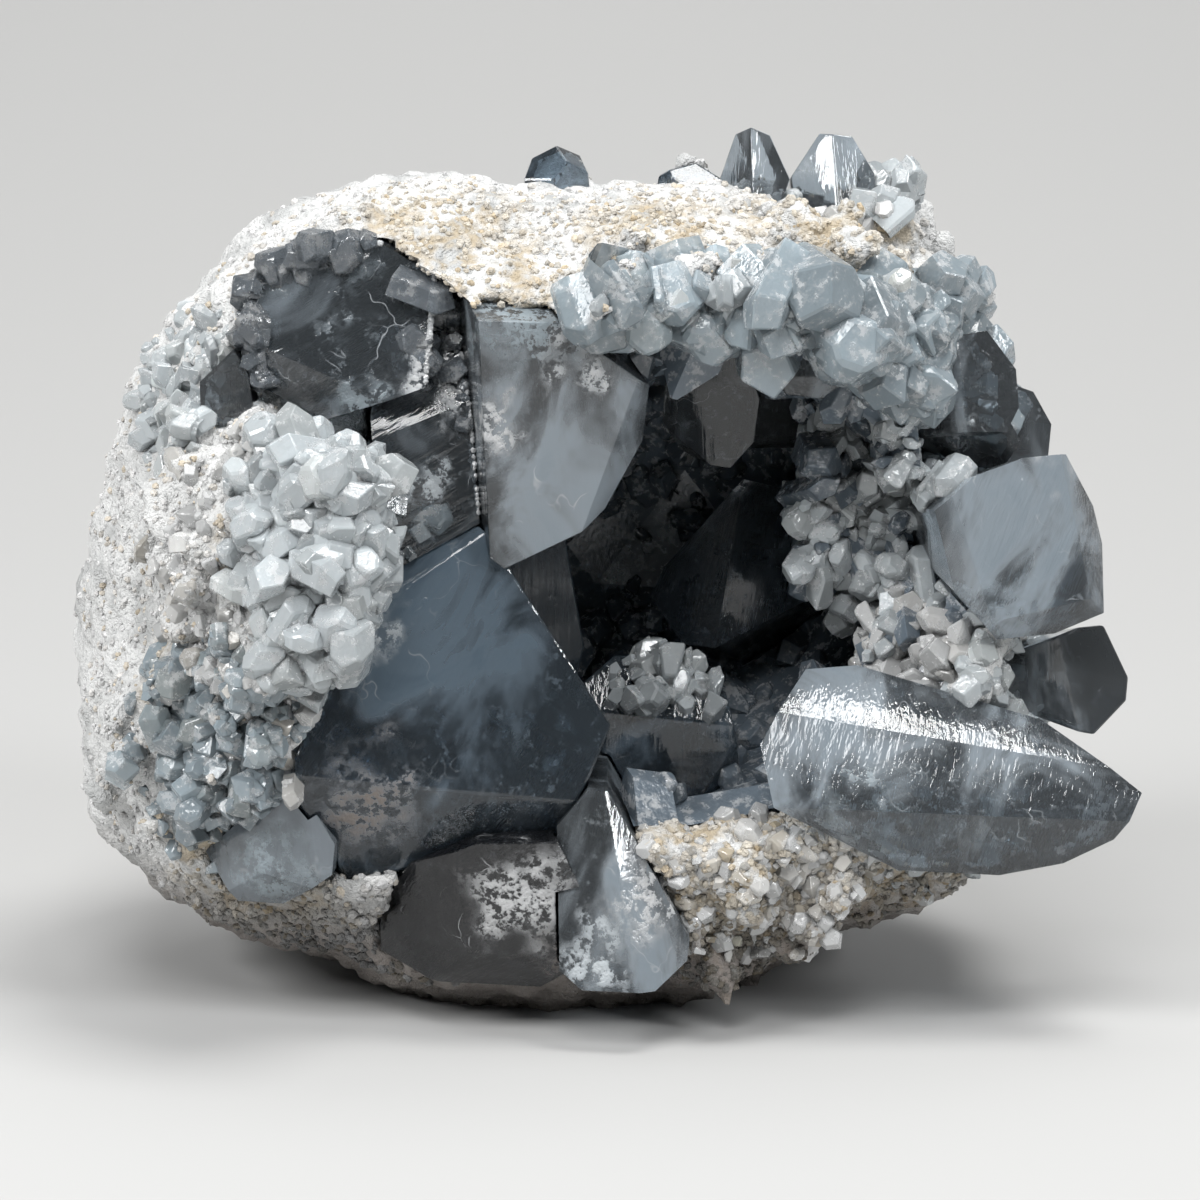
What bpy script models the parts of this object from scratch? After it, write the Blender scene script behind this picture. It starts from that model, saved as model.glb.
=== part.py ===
"""Celestite geode: a broken stone whose hollow is full of blue crystals, resting on a small flat spot.

Lengths at the top are millimetres and MM turns them into metres. +Z is up, the hollow opens towards -Y,
and the origin is the middle of the flat spot under the stone.
"""

import math
import random

import bmesh
import bpy
import numpy as np
from mathutils import Matrix, Vector, noise

MM = 0.001
GAP = 0.3
SEED = 11
GOLDEN_ANGLE = math.pi * (3 - math.sqrt(5))

# The stone: its outline seen from the front as (x, z) points around CENTRE, and how far it reaches
# towards the front and the back.
CENTRE = (0.0, 2.0, 47.0)
FRONT_REACH = 42.0
BACK_REACH = 41.0
BOXINESS = 0.84
RIM = (
    (50, 47), (49, 62), (45, 73), (37, 85), (29, 91), (6, 93), (-10, 92), (-22, 94), (-33, 92),
    (-47, 81), (-56, 65), (-60, 45), (-62, 31), (-60, 20), (-52, 10), (-42, 5), (-30, 2), (-14, -2),
    (0, -3.5), (14, -1), (28, 5), (42, 12), (50, 22), (52, 34),
)
STONE_DETAIL = 5
STONE_KEPT = 0.36
STONE_EDGE = 0.98
LUMP_HEIGHT = 2.2
LUMP_SPACING = 17.0
PIT_HEIGHT = 0.9
PIT_SPACING = 5.0
LOBE_PLACE = (-37, 54)
LOBE_SPREAD = 15.0
LOBE_HEIGHT = 5.0

# The hollow: a lumpy ellipsoid that breaks out through the front, and a notch at its upper left.
HOLLOW_CENTRE = (5.0, -14.0, 51.0)
HOLLOW_RADII = (38.0, 38.0, 31.0)
HOLLOW_LUMP = 2.4
HOLLOW_LUMP_SPACING = 15.0
HOLLOW_DETAIL = 3
EGG_DETAIL = 3
MOUTH_CENTRE = (13.0, -40.0, 52.0)
MOUTH_RADII = (37.0, 27.0, 31.0)
NOTCH_CENTRE = (-27.0, -30.0, 76.0)
NOTCH_RADII = (14.0, 17.0, 11.0)
LINER_THICKNESS = 3.4

# The block that each big crystal is cut from.
BLOCK = 400.0

# Each big crystal: its front outline as (x, z) points, the depth y and the normal of its front face,
# the way that its body runs back into the rock, and how long the body is. A bevel is a line across
# the front face, with the side that it cuts away and its angle.
CRYSTALS = {
    "great_crystal": dict(
        outline=((-18.5, 58.5), (-13.9, 58.3), (1.3, 35.1), (-0.9, 30), (-4.5, 23.4), (-26, 20.7),
                 (-33.1, 29.1), (-33.1, 32.4), (-28.2, 43.7)),
        front=-33, normal=(0.12, -1, 0.22), root=(-0.25, 1, -0.4), length=42,
        bevels=(((-30, 30), (-3, 27), 38), ((-23.5, 49), (-13.5, 55.5), 42)),
    ),
    "hanging_crystal": dict(
        outline=((-13, 79.5), (-4.4, 79.2), (5.7, 71.8), (5.3, 65.2), (0.9, 58.1), (-1.8, 56.2),
                 (-10.4, 52.2), (-12, 53.5)),
        front=-30, normal=(0.2, -1, -0.12), root=(-0.25, 1, 0.3), length=28,
        bevels=(((3.6, 71.5), (-1.5, 57.5), 35),),
    ),
    "veined_crystal": dict(
        outline=((-23, 87), (-17, 83), (-11, 78), (-10, 56), (-14, 52), (-23.5, 51), (-25, 68)),
        front=-27, normal=(0.1, -1, 0.08), root=(-0.1, 1, 0.1), length=22,
        bevels=(((-25, 66), (-10, 72), 24),),
    ),
    "smoky_crystal": dict(
        outline=((-39, 82.6), (-33, 86.8), (-24, 87.4), (-18, 84), (-19, 72), (-30, 68), (-38.3, 72)),
        front=-26, normal=(-0.12, -1, 0.28), root=(0, 1, 0.1), length=26,
        bevels=(((-39, 77), (-22, 70), 30),),
    ),
    "back_crystal": dict(
        outline=((16.8, 58.8), (22.6, 57.3), (25.9, 55.2), (27.8, 49.8), (24, 44.1), (13.5, 39.2),
                 (9, 40.2), (4.3, 46.4), (6.2, 49.8)),
        front=0, normal=(0.28, -1, 0.12), root=(0.3, 1, -0.3), length=32,
        bevels=(((16.9, 59), (13.5, 39), 34),),
    ),
    "shadow_crystal": dict(
        outline=((-12, 52), (-1.5, 54), (0.5, 50), (-1.7, 41), (-0.5, 34), (-9, 31), (-14, 40)),
        front=-14, normal=(0.5, -1, 0.1), root=(-0.4, 1, -0.2), length=34, bevels=(),
    ),
    "roof_crystal": dict(
        outline=((7.4, 70.4), (9.9, 75), (16, 76), (18.2, 69), (17.6, 64), (15, 60.9), (9.4, 61.6),
                 (7.2, 66.3)),
        front=-8, normal=(-0.25, -1, -0.2), root=(0.1, 0.7, 0.8), length=21,
        bevels=(((7.2, 66), (13.5, 60.6), 40),),
    ),
    "roof_side_crystal": dict(
        outline=((15.4, 72), (24.1, 70.5), (25.4, 66), (23.3, 59), (16.8, 58.4), (15, 63)),
        front=-3, normal=(0.2, -1, -0.35), root=(0.2, 0.7, 0.8), length=21,
        bevels=(((14, 64.5), (26, 64), 50),),
    ),
    "pale_block_crystal": dict(
        outline=((17.5, 75.9), (21.2, 79.4), (27, 79.6), (29.6, 75.9), (28.9, 70.4), (24.6, 68.6),
                 (20.4, 69.2)),
        front=-22, normal=(-0.1, -1, 0.2), root=(0.1, 0.9, 0.6), length=20,
        bevels=(((16, 72.6), (30, 72.4), 38),),
    ),
    "shoulder_crystal": dict(
        outline=((37, 66.5), (36, 69.5), (37.4, 73), (40, 77), (43.2, 77.4), (46.4, 73.1), (46.6, 69),
                 (45.2, 66.4)),
        front=-20, normal=(0.2, -1, 0.35), root=(-0.3, 1, -0.3), length=22, taper=5,
        bevels=(((39.4, 78), (41.5, 65), 40),),
    ),
    "mirror_crystal": dict(
        outline=((34.6, 68.6), (45.2, 68.4), (47.4, 65), (45.6, 61.6), (39.5, 61.2), (35, 62.6)),
        front=-17, normal=(0.1, -1, -0.5), root=(-0.3, 1, 0), length=20, taper=5,
        bevels=(((37, 69), (43, 60), 44),),
    ),
    "edge_crystal": dict(
        outline=((45.6, 67.8), (46.7, 71), (49.3, 70), (51.4, 66.2), (51, 62.6), (48.2, 61), (46, 61.8)),
        front=-12, normal=(0.35, -1, 0.1), root=(-0.5, 1, 0), length=16, taper=8, bevels=(),
    ),
    "right_crystal": dict(
        outline=((36.5, 58), (40.9, 62), (47.2, 64), (52, 64.2), (57.2, 57.5), (58.1, 53.5), (56.4, 46.4),
                 (51.5, 44), (44.3, 43.5), (39.4, 48.5)),
        front=-27, normal=(0.16, -1, 0.2), root=(-0.35, 1, 0), length=28, taper=12,
        bevels=(((50.6, 65), (55, 44), 46), ((38.6, 60), (44, 43), 34), ((44, 46.5), (56, 49), 40)),
    ),
    "right_lower_crystal": dict(
        outline=((44.5, 43.6), (52.2, 43.8), (56.3, 45.2), (59.4, 38), (59.2, 36), (55.7, 32.2),
                 (50, 33), (45, 37)),
        front=-21, normal=(0.1, -1, 0.1), root=(-0.4, 1, 0), length=22, taper=12,
        bevels=(((51, 45), (54, 31), 36),),
    ),
    "blade_crystal": dict(
        outline=((17, 32.4), (21.1, 41.4), (28.2, 42.2), (49.6, 35.4), (59, 27.4), (55.5, 22), (50, 19),
                 (43, 17.6), (32, 18.4), (19, 26)),
        front=-34, normal=(0.06, -1, 0.45), root=(0, 1, -0.1), length=26, taper=16,
        bevels=(((17, 27), (58, 25), 42), ((20, 36.5), (50, 31.5), 22)),
    ),
    "front_shard": dict(
        outline=((-4.7, 24.5), (-1.3, 28.6), (0.8, 28.4), (9.8, 12), (9.5, 9.7), (6, 7), (-2, 7), (-4.4, 9)),
        front=-37, normal=(-0.2, -1, 0.15), root=(0, 1, 0.05), length=24,
        bevels=(((0, 29), (4.6, 6), 34),),
    ),
    "cleaved_crystal": dict(
        outline=((-20.8, 19.6), (-13.4, 23), (-4.6, 23.3), (-1.6, 17), (-2.6, 8), (-6.6, 4.8), (-18, 5.4),
                 (-24.6, 8), (-24.5, 14)),
        front=-34, normal=(-0.1, -1, -0.25), root=(0, 1, 0.1), length=34,
        bevels=(((-16, 24), (-14, 4), 28), ((-25, 9.5), (-2, 10.5), 30)),
    ),
    "lower_left_crystal": dict(
        outline=((-44.4, 19.7), (-39.6, 24.5), (-34.8, 28.2), (-32.3, 28.4), (-28.9, 22.5), (-29.3, 19),
                 (-35.3, 14.6), (-40.6, 14.3)),
        front=-33, normal=(-0.2, -1, -0.1), root=(0.1, 1, 0.1), length=26,
        bevels=(((-45, 21), (-30, 17), 34), ((-38, 29), (-36.6, 13), 30)),
    ),
    "left_inner_crystal": dict(
        outline=((-43.6, 72.5), (-40, 76), (-38.5, 73.3), (-38, 69.4), (-41.2, 67.6), (-43.6, 68.4)),
        front=-27, normal=(0.3, -1, 0), root=(0, 1, 0), length=20, bevels=(),
    ),
    "floor_crystal": dict(
        outline=((-2, 37.6), (1.6, 40.4), (7.4, 40.4), (14.3, 36.4), (15.4, 32), (11, 29), (1, 29)),
        front=-18, normal=(0.1, -1, 0.7), root=(0.1, 0.7, -0.8), length=34,
        bevels=(((-3, 35), (15, 33), 40),),
    ),
    "top_left_crystal": dict(
        outline=((13.6, 93.5), (15.6, 99.2), (17.3, 99.8), (19.4, 98.9), (21.6, 94), (19.6, 88), (15.4, 88)),
        front=-6, normal=(-0.3, -1, 0.3), root=(0, 1, -0.1), length=10,
        bevels=(((17.2, 100), (17.6, 88), 40),),
    ),
    "top_right_crystal": dict(
        outline=((22, 94.5), (25.2, 99.2), (28.9, 98.8), (31.4, 94.6), (31.6, 88), (23, 87)),
        front=-6, normal=(0.1, -1, 0.4), root=(0, 1, -0.1), length=12,
        bevels=(((26.6, 100), (27.4, 87), 36),),
    ),
}

# Crystals that overlap have grown into one another, so each group is one solid.
GROWN_TOGETHER = {
    "veined_crystals": ("veined_crystal", "smoky_crystal"),
    "roof_crystals": ("roof_crystal", "roof_side_crystal"),
    "shoulder_crystals": ("shoulder_crystal", "mirror_crystal", "edge_crystal"),
}

# The crystals with no rock in front of them.
SHOWING = (
    "great_crystal", "hanging_crystal", "veined_crystal", "smoky_crystal", "pale_block_crystal",
    "shoulder_crystal", "mirror_crystal", "edge_crystal", "right_crystal", "right_lower_crystal",
    "blade_crystal", "front_shard", "cleaved_crystal", "lower_left_crystal", "left_inner_crystal",
)

# The shape of a small crystal: the sides that it may have, the range of its thickness against its width,
# the width of its top against its foot, and as shares of its length where its middle and its top stand and
# how far down its slanting faces start. The slants are the ranges of their directions and steepness.
SMALL_SIDES = (4, 5)
SMALL_FLATNESS = (0.65, 1)
SMALL_TOP_WIDTH = 0.86
SMALL_MIDDLE = 0.2
SMALL_TOP = 0.7
SMALL_SLANT_DEPTH = 0.18
SMALL_SLANTS = ((0, 2), (3, 5))
SMALL_STEEPNESS = (0.7, 1.3)

# Small crystals fused to the stone: the middle (x, z) and half sizes of each patch on its front, how
# many there are, and how wide they are. The depth comes from the stone's own surface.
DRUSE_PATCHES = (
    dict(middle=(-36, 56), half=(13, 16), count=40, width=3.1),
    dict(middle=(-44, 32), half=(12, 12), count=14, width=2.8),
    dict(middle=(30, 84), half=(14, 8), count=16, width=3.0),
    dict(middle=(20, 14), half=(17, 7), count=10, width=2.8),
    dict(middle=(6, 82), half=(12, 5), count=9, width=3.2),
)
DRUSE_LEAN = 0.4
DRUSE_PULL = (0, -0.5, 0)
DRUSE_WIDTHS = (0.75, 1.25)
DRUSE_SLENDERNESS = 2.6
TOP_POINTS = (
    (-4.5, 6, 92, 3.6), (10.5, 4, 92.5, 3.8), (33.5, -2, 90, 3.4), (36, 4, 87, 3.6), (39, 2, 84, 3.2),
)
TOP_LEAN = 0.3
TOP_PULL = -0.2

# Small crystals fused to the liner of the hollow: those spread over it, of which CRUST_REACH is the share
# of the way from the back of the hollow to its mouth, and three clusters.
CRUST_COUNT = 40
CRUST_WIDTH = 4.0
CRUST_REACH = 1.55
CRUST_SINK = 0.6
CRUST_LEAN = 0.45
CRUST_WIDTHS = (0.7, 1.3)
CRUST_SLENDERNESS = 2.3
CLUSTER_WIDTHS = (0.8, 1.2)
CLUSTER_WAY = (-0.7, -0.8)
CLUSTER_LEAN = 0.5
CLUSTER_RISE = (-0.4, 0.6)
CLUSTER_DEPTHS = (-2, 2)
CLUSTER_SLENDERNESS = 3.4
CLUSTERS = (
    dict(middle=(31, 57), half=(6, 13), count=18, depth=-7, width=3.4),
    dict(middle=(37, 42), half=(6, 5), count=8, depth=-13, width=3.0),
    dict(middle=(13, 37), half=(7, 4), count=6, depth=-9, width=2.8),
)

# Colours and roughness of the parts. A crystal that FINISHES doesn't name is pale blue.
PALE_BLUE = ((0.36, 0.46, 0.52, 1), 0.15)
FINISHES = {
    "rind": ((0.66, 0.65, 0.62, 1), 0.85),
    "hollow_crust": ((0.48, 0.55, 0.58, 1), 0.25),
    "great_crystal": ((0.07, 0.12, 0.17, 1), 0.1),
    "veined_crystals": ((0.12, 0.15, 0.18, 1), 0.2),
    "back_crystal": ((0.03, 0.05, 0.07, 1), 0.1),
    "shadow_crystal": ((0.04, 0.06, 0.08, 1), 0.15),
    "floor_crystal": ((0.12, 0.17, 0.21, 1), 0.15),
    "cleaved_crystal": ((0.05, 0.05, 0.06, 1), 0.2),
}


def clear_scene():
    for obj in list(bpy.data.objects):
        bpy.data.objects.remove(obj, do_unlink=True)


def new_collection(name):
    collection = bpy.data.collections.new(name)
    bpy.context.scene.collection.children.link(collection)
    return collection


def finish_of(name):
    """The part's own material, with its colour and roughness."""
    colour, roughness = FINISHES.get(name, PALE_BLUE)
    material = bpy.data.materials.new(name + "_finish")
    material.use_nodes = True
    shader = material.node_tree.nodes["Principled BSDF"]
    shader.inputs["Base Color"].default_value = colour
    shader.inputs["Roughness"].default_value = roughness
    shader.inputs["Metallic"].default_value = 0
    return material


def mesh_of(bm):
    """The bmesh as a mesh in metres, with its faces turned outwards."""
    bmesh.ops.recalc_face_normals(bm, faces=bm.faces)
    bmesh.ops.scale(bm, vec=(MM, MM, MM), verts=bm.verts)
    mesh = bpy.data.meshes.new("shape")
    bm.to_mesh(mesh)
    bm.free()
    return mesh


def rim_radius(angle):
    """How far the stone's outline lies from its centre, seen from the front at this angle."""
    across = np.array([x - CENTRE[0] for x, z in RIM], float)
    up = np.array([z - CENTRE[2] for x, z in RIM], float)
    return float(np.interp(angle, np.arctan2(up, across), np.hypot(across, up), period=2 * math.pi))


def stone_point(direction):
    """The point of the stone's surface, in millimetres, for a unit direction from its centre."""
    across = math.hypot(direction.x, direction.z)
    radius = rim_radius(math.atan2(direction.z, direction.x)) * across**BOXINESS
    reach = FRONT_REACH if direction.y < 0 else BACK_REACH
    depth = math.copysign(reach * abs(direction.y) ** BOXINESS, direction.y)
    turn = 1 / max(across, 1e-6)
    point = Vector(CENTRE) + Vector((radius * direction.x * turn, depth, radius * direction.z * turn))
    lumps = LUMP_HEIGHT * noise.fractal(point / LUMP_SPACING, 1.0, 2.0, 2)
    pits = PIT_HEIGHT * noise.noise(point / PIT_SPACING)
    point += direction * (lumps + pits)
    away = math.hypot(point.x - LOBE_PLACE[0], point.z - LOBE_PLACE[1])
    if direction.y < 0:
        point.y -= LOBE_HEIGHT * math.exp(-((away / LOBE_SPREAD) ** 2)) * abs(direction.y)
    return point


def fill_cut(bm, cut):
    edges = [item for item in cut["geom_cut"] if isinstance(item, bmesh.types.BMEdge)]
    if edges:
        bmesh.ops.contextual_create(bm, geom=edges)


def cut_away(bm, point, normal):
    """Removes what lies on the normal's side of the plane, and closes the cut with one face."""
    everything = list(bm.verts) + list(bm.edges) + list(bm.faces)
    cut = bmesh.ops.bisect_plane(bm, geom=everything, plane_co=point, plane_no=normal, clear_outer=True)
    fill_cut(bm, cut)


def stone_mesh():
    """The whole stone before it broke open, cut flat where it rests."""
    bm = bmesh.new()
    bmesh.ops.create_icosphere(bm, subdivisions=STONE_DETAIL, radius=1)
    for vert in bm.verts:
        vert.co = stone_point(vert.co.normalized())
    whole = bpy.data.objects.new("whole", mesh_of(bm))
    bpy.context.scene.collection.objects.link(whole)
    whole.modifiers.new("decimate", "DECIMATE").ratio = STONE_KEPT
    thinned = evaluated(whole)
    bpy.data.objects.remove(whole, do_unlink=True)
    bm = bmesh.new()
    bm.from_mesh(thinned)
    bmesh.ops.scale(bm, vec=(1 / MM, 1 / MM, 1 / MM), verts=bm.verts)
    cut_away(bm, (0, 0, 0), (0, 0, -1))
    return mesh_of(bm)


def hollow_point(direction, inset):
    """The point of the hollow's lumpy wall, or of one inset from it, in a direction from its centre."""
    point = Vector(HOLLOW_CENTRE)
    point += Vector([way * (radius - inset) for way, radius in zip(direction, HOLLOW_RADII)])
    lump = HOLLOW_LUMP * noise.noise(direction * max(HOLLOW_RADII) / HOLLOW_LUMP_SPACING)
    return point + direction * lump


def hollow_mesh(inset=0.0):
    """The shape of the hollow, or a smaller one that lies this far inside it."""
    bm = bmesh.new()
    bmesh.ops.create_icosphere(bm, subdivisions=HOLLOW_DETAIL, radius=1)
    for vert in bm.verts:
        vert.co = hollow_point(vert.co.normalized(), inset)
    return mesh_of(bm)


def egg_mesh(centre, radii):
    """An ellipsoid that the broken front is cut with."""
    bm = bmesh.new()
    bmesh.ops.create_icosphere(bm, subdivisions=EGG_DETAIL, radius=1)
    bmesh.ops.scale(bm, vec=radii, verts=bm.verts)
    bmesh.ops.translate(bm, vec=centre, verts=bm.verts)
    return mesh_of(bm)


def broken_front():
    """What broke off the front of the stone: its mouth and the notch."""
    return [egg_mesh(MOUTH_CENTRE, MOUTH_RADII), egg_mesh(NOTCH_CENTRE, NOTCH_RADII)]


def crystal_planes(shape, bare=False):
    """The planes of a big crystal as (point, outward normal) pairs: back, sides, front and bevels.

    A bare one has no front: it runs on towards the viewer, which clears the rock in front of the crystal.
    """
    outline = shape["outline"]
    middle = Vector((sum(x for x, z in outline) / len(outline), shape["front"],
                     sum(z for x, z in outline) / len(outline)))
    normal = Vector(shape["normal"]).normalized()
    root = Vector(shape["root"]).normalized()

    def on_face(x, z):
        """The point of the front face behind this place of the outline."""
        flat = Vector((x, shape["front"], z))
        return flat + Vector((0, (middle - flat).dot(normal) / normal.y, 0))

    planes = [(middle + root * shape["length"], root)]
    taper = math.tan(math.radians(shape.get("taper", 0)))
    for (x1, z1), (x2, z2) in zip(outline, outline[1:] + outline[:1]):
        start = on_face(x1, z1)
        side = (on_face(x2, z2) - start).cross(root).normalized()
        side = side if side.dot(start - middle) > 0 else -side
        planes.append((start, (side + root * taper).normalized()))
    if bare:
        return planes + [(middle - root * shape["length"], -root)]
    planes.append((middle, normal))
    for (x1, z1), (x2, z2), angle in shape["bevels"]:
        start = on_face(x1, z1)
        line = (on_face(x2, z2) - start).normalized()
        away = line.cross(normal)
        if away.dot(start - middle) < 0:
            away = -away
        turn = math.radians(angle)
        planes.append((start, (normal * math.cos(turn) + away * math.sin(turn)).normalized()))
    return planes


def crystal_mesh(shape, grow=0.0, bare=False):
    """A big crystal, cut from a block by its planes, each moved outwards by grow."""
    bm = bmesh.new()
    bmesh.ops.create_cube(bm, size=BLOCK)
    for point, normal in crystal_planes(shape, bare):
        cut_away(bm, point + normal * grow, normal)
    return mesh_of(bm)


def small_crystal(place, direction, width, length, rng):
    """A stubby crystal with a slanting top, standing on a place and leaning in a direction."""
    bm = bmesh.new()
    turn = direction.to_track_quat("Z", "Y").to_matrix().to_4x4()
    spin = Matrix.Rotation(rng.uniform(0, math.pi), 4, "Z")
    squash = Matrix.Diagonal((1, rng.uniform(*SMALL_FLATNESS), 1, 1))
    middle = Matrix.Translation(place + direction * length * SMALL_MIDDLE)
    bmesh.ops.create_cone(bm, cap_ends=True, segments=rng.choice(SMALL_SIDES), radius1=width,
                          radius2=width * SMALL_TOP_WIDTH, depth=length, matrix=middle @ turn @ spin @ squash)
    start = place + direction * length * (SMALL_TOP - SMALL_SLANT_DEPTH)
    for lean in [rng.uniform(*way) for way in SMALL_SLANTS]:
        slant = Vector((math.cos(lean), math.sin(lean), 0))
        slant.rotate(direction.to_track_quat("Z", "Y"))
        cut_away(bm, start, (direction + slant * rng.uniform(*SMALL_STEEPNESS)).normalized())
    return mesh_of(bm)


def stone_front(x, z):
    """The direction of the stone's surface, seen from the front at (x, z)."""
    across = Vector((x - CENTRE[0], 0, z - CENTRE[2]))
    share = min(across.length / rim_radius(math.atan2(across.z, across.x)), STONE_EDGE)
    flat = share ** (1 / BOXINESS)
    direction = across.normalized() * flat
    direction.y = -math.sqrt(1 - flat * flat)
    return direction


def scattered(patch):
    """Evenly scattered (x, z) places over a patch, along a sunflower's spiral."""
    for step in range(patch["count"]):
        share = math.sqrt((step + 0.5) / patch["count"])
        angle = step * GOLDEN_ANGLE
        yield (patch["middle"][0] + patch["half"][0] * share * math.cos(angle),
               patch["middle"][1] + patch["half"][1] * share * math.sin(angle))


def druse_meshes(rng):
    """The small crystals that stand on the outside of the stone."""
    found = []
    for patch in DRUSE_PATCHES:
        for x, z in scattered(patch):
            direction = stone_front(x, z)
            place = stone_point(direction)
            lean = Vector([rng.uniform(-DRUSE_LEAN, DRUSE_LEAN) for _ in range(3)])
            width = patch["width"] * rng.uniform(*DRUSE_WIDTHS)
            way = (direction + lean + Vector(DRUSE_PULL)).normalized()
            found.append(small_crystal(place, way, width, width * DRUSE_SLENDERNESS, rng))
    for x, y, z, width in TOP_POINTS:
        way = Vector((rng.uniform(-TOP_LEAN, TOP_LEAN), TOP_PULL, 1)).normalized()
        found.append(small_crystal(Vector((x, y, z)), way, width, width * DRUSE_SLENDERNESS, rng))
    return found


def crust_meshes(rng):
    """The small crystals that line the hollow, thickest on its right side."""
    found = []
    for step in range(CRUST_COUNT):
        height = 1 - CRUST_REACH * (step + 0.5) / CRUST_COUNT
        angle = step * GOLDEN_ANGLE
        ring = math.sqrt(1 - height * height)
        direction = Vector((ring * math.cos(angle), height, ring * math.sin(angle)))
        place = hollow_point(direction, GAP + LINER_THICKNESS * CRUST_SINK)
        lean = Vector([rng.uniform(-CRUST_LEAN, CRUST_LEAN) for _ in range(3)])
        width = CRUST_WIDTH * rng.uniform(*CRUST_WIDTHS)
        way = (lean - direction).normalized()
        found.append(small_crystal(place, way, width, width * CRUST_SLENDERNESS, rng))
    for cluster in CLUSTERS:
        for x, z in scattered(cluster):
            width = cluster["width"] * rng.uniform(*CLUSTER_WIDTHS)
            across = CLUSTER_WAY[0] + rng.uniform(-CLUSTER_LEAN, CLUSTER_LEAN)
            way = Vector((across, CLUSTER_WAY[1], rng.uniform(*CLUSTER_RISE))).normalized()
            place = Vector((x, cluster["depth"] + rng.uniform(*CLUSTER_DEPTHS), z))
            found.append(small_crystal(place, way, width, width * CLUSTER_SLENDERNESS, rng))
    return found


def evaluated(obj):
    """A new mesh with the object's modifiers applied."""
    bpy.context.view_layer.update()
    graph = bpy.context.evaluated_depsgraph_get()
    return bpy.data.meshes.new_from_object(obj.evaluated_get(graph))


def boolean(mesh, others, operation, solver="EXACT"):
    """The mesh cut by, joined with or kept inside the other meshes."""
    bench = new_collection("bench")
    work = bpy.data.objects.new("work", mesh)
    bpy.context.scene.collection.objects.link(work)
    for other in others:
        bench.objects.link(bpy.data.objects.new("tool", other))
    modifier = work.modifiers.new("boolean", "BOOLEAN")
    modifier.operation = operation
    modifier.solver = solver
    modifier.operand_type = "COLLECTION"
    modifier.collection = bench
    result = evaluated(work)
    for obj in [work, *bench.objects]:
        bpy.data.objects.remove(obj, do_unlink=True)
    bpy.data.collections.remove(bench)
    return result


def largest_body(mesh):
    """The mesh with its biggest connected body only."""
    bm = bmesh.new()
    bm.from_mesh(mesh)
    bmesh.ops.remove_doubles(bm, verts=bm.verts, dist=1e-7)
    bm.verts.ensure_lookup_table()
    unseen = set(bm.verts)
    bodies = []
    while unseen:
        body = set()
        edge_of_body = [unseen.pop()]
        while edge_of_body:
            vert = edge_of_body.pop()
            body.add(vert)
            for edge in vert.link_edges:
                other = edge.other_vert(vert)
                if other in unseen:
                    unseen.discard(other)
                    edge_of_body.append(other)
        bodies.append(body)
    bodies.sort(key=spread, reverse=True)
    loose = [vert for body in bodies[1:] for vert in body]
    bmesh.ops.delete(bm, geom=loose, context="VERTS")
    bmesh.ops.triangulate(bm, faces=bm.faces)
    kept = bpy.data.meshes.new("body")
    bm.to_mesh(kept)
    bm.free()
    return kept


def spread(verts):
    """The volume of the box around some vertices."""
    places = np.array([vert.co for vert in verts])
    return float(np.prod(np.ptp(places, axis=0)))


def place_part(name, mesh, parts):
    mesh.name = name
    mesh.materials.clear()
    mesh.materials.append(finish_of(name))
    parts.objects.link(bpy.data.objects.new(name, mesh))


def big_crystals():
    """The big crystals by name, and the sockets that the rock leaves for them."""
    groups = {}
    joined = {member: name for name, members in GROWN_TOGETHER.items() for member in members}
    for name, shape in CRYSTALS.items():
        groups.setdefault(joined.get(name, name), []).append(shape)
    meshes, sockets = {}, []
    for name, shapes in groups.items():
        whole = crystal_mesh(shapes[0])
        if len(shapes) > 1:
            whole = boolean(whole, [crystal_mesh(shape) for shape in shapes[1:]], "UNION")
        if sockets:
            whole = boolean(whole, [socket.copy() for socket in sockets], "DIFFERENCE")
        meshes[name] = largest_body(whole)
        sockets += [crystal_mesh(shape, GAP) for shape in shapes]
    sockets += [crystal_mesh(CRYSTALS[name], GAP, bare=True) for name in SHOWING]
    return meshes, sockets


def rind_mesh(stone, sockets, rng):
    """The stone with its small crystals, broken open and seated round the big crystals."""
    joined = boolean(stone.copy(), druse_meshes(rng), "UNION")
    opened = boolean(joined, [hollow_mesh(), *broken_front()], "DIFFERENCE")
    seated = boolean(opened, [socket.copy() for socket in sockets], "DIFFERENCE")
    return largest_body(seated)


def crust_mesh(stone, sockets, rng):
    """The liner of the hollow with its small crystals, kept clear of the stone and the big crystals."""
    steps = (
        ([stone.copy()], "INTERSECT"),
        ([hollow_mesh(GAP + LINER_THICKNESS), *broken_front()], "DIFFERENCE"),
        (crust_meshes(rng), "UNION"),
        ([hollow_mesh(GAP)], "INTERSECT"),
        ([socket.copy() for socket in sockets], "DIFFERENCE"),
    )
    crust = hollow_mesh(GAP)
    for others, operation in steps:
        crust = boolean(crust, others, operation, solver="MANIFOLD")
    return largest_body(crust)


def build():
    clear_scene()
    parts = new_collection("celestite_geode")
    rng = random.Random(SEED)
    meshes, sockets = big_crystals()
    stone = stone_mesh()
    place_part("rind", rind_mesh(stone, sockets, rng), parts)
    place_part("hollow_crust", crust_mesh(stone, sockets, rng), parts)
    for name, mesh in meshes.items():
        place_part(name, mesh, parts)


build()
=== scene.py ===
"""Celestite geode: a chalky stone broken open on a hollow of dark and pale blue crystals.

The rind, the crust of the hollow and the big crystals are finished copies of the solids, and thousands of
small crystals and grains grow on them. Lengths are metres; MM turns millimetres into metres.
"""

import logging
import math
from dataclasses import dataclass
from enum import Enum
from typing import Sequence

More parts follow.
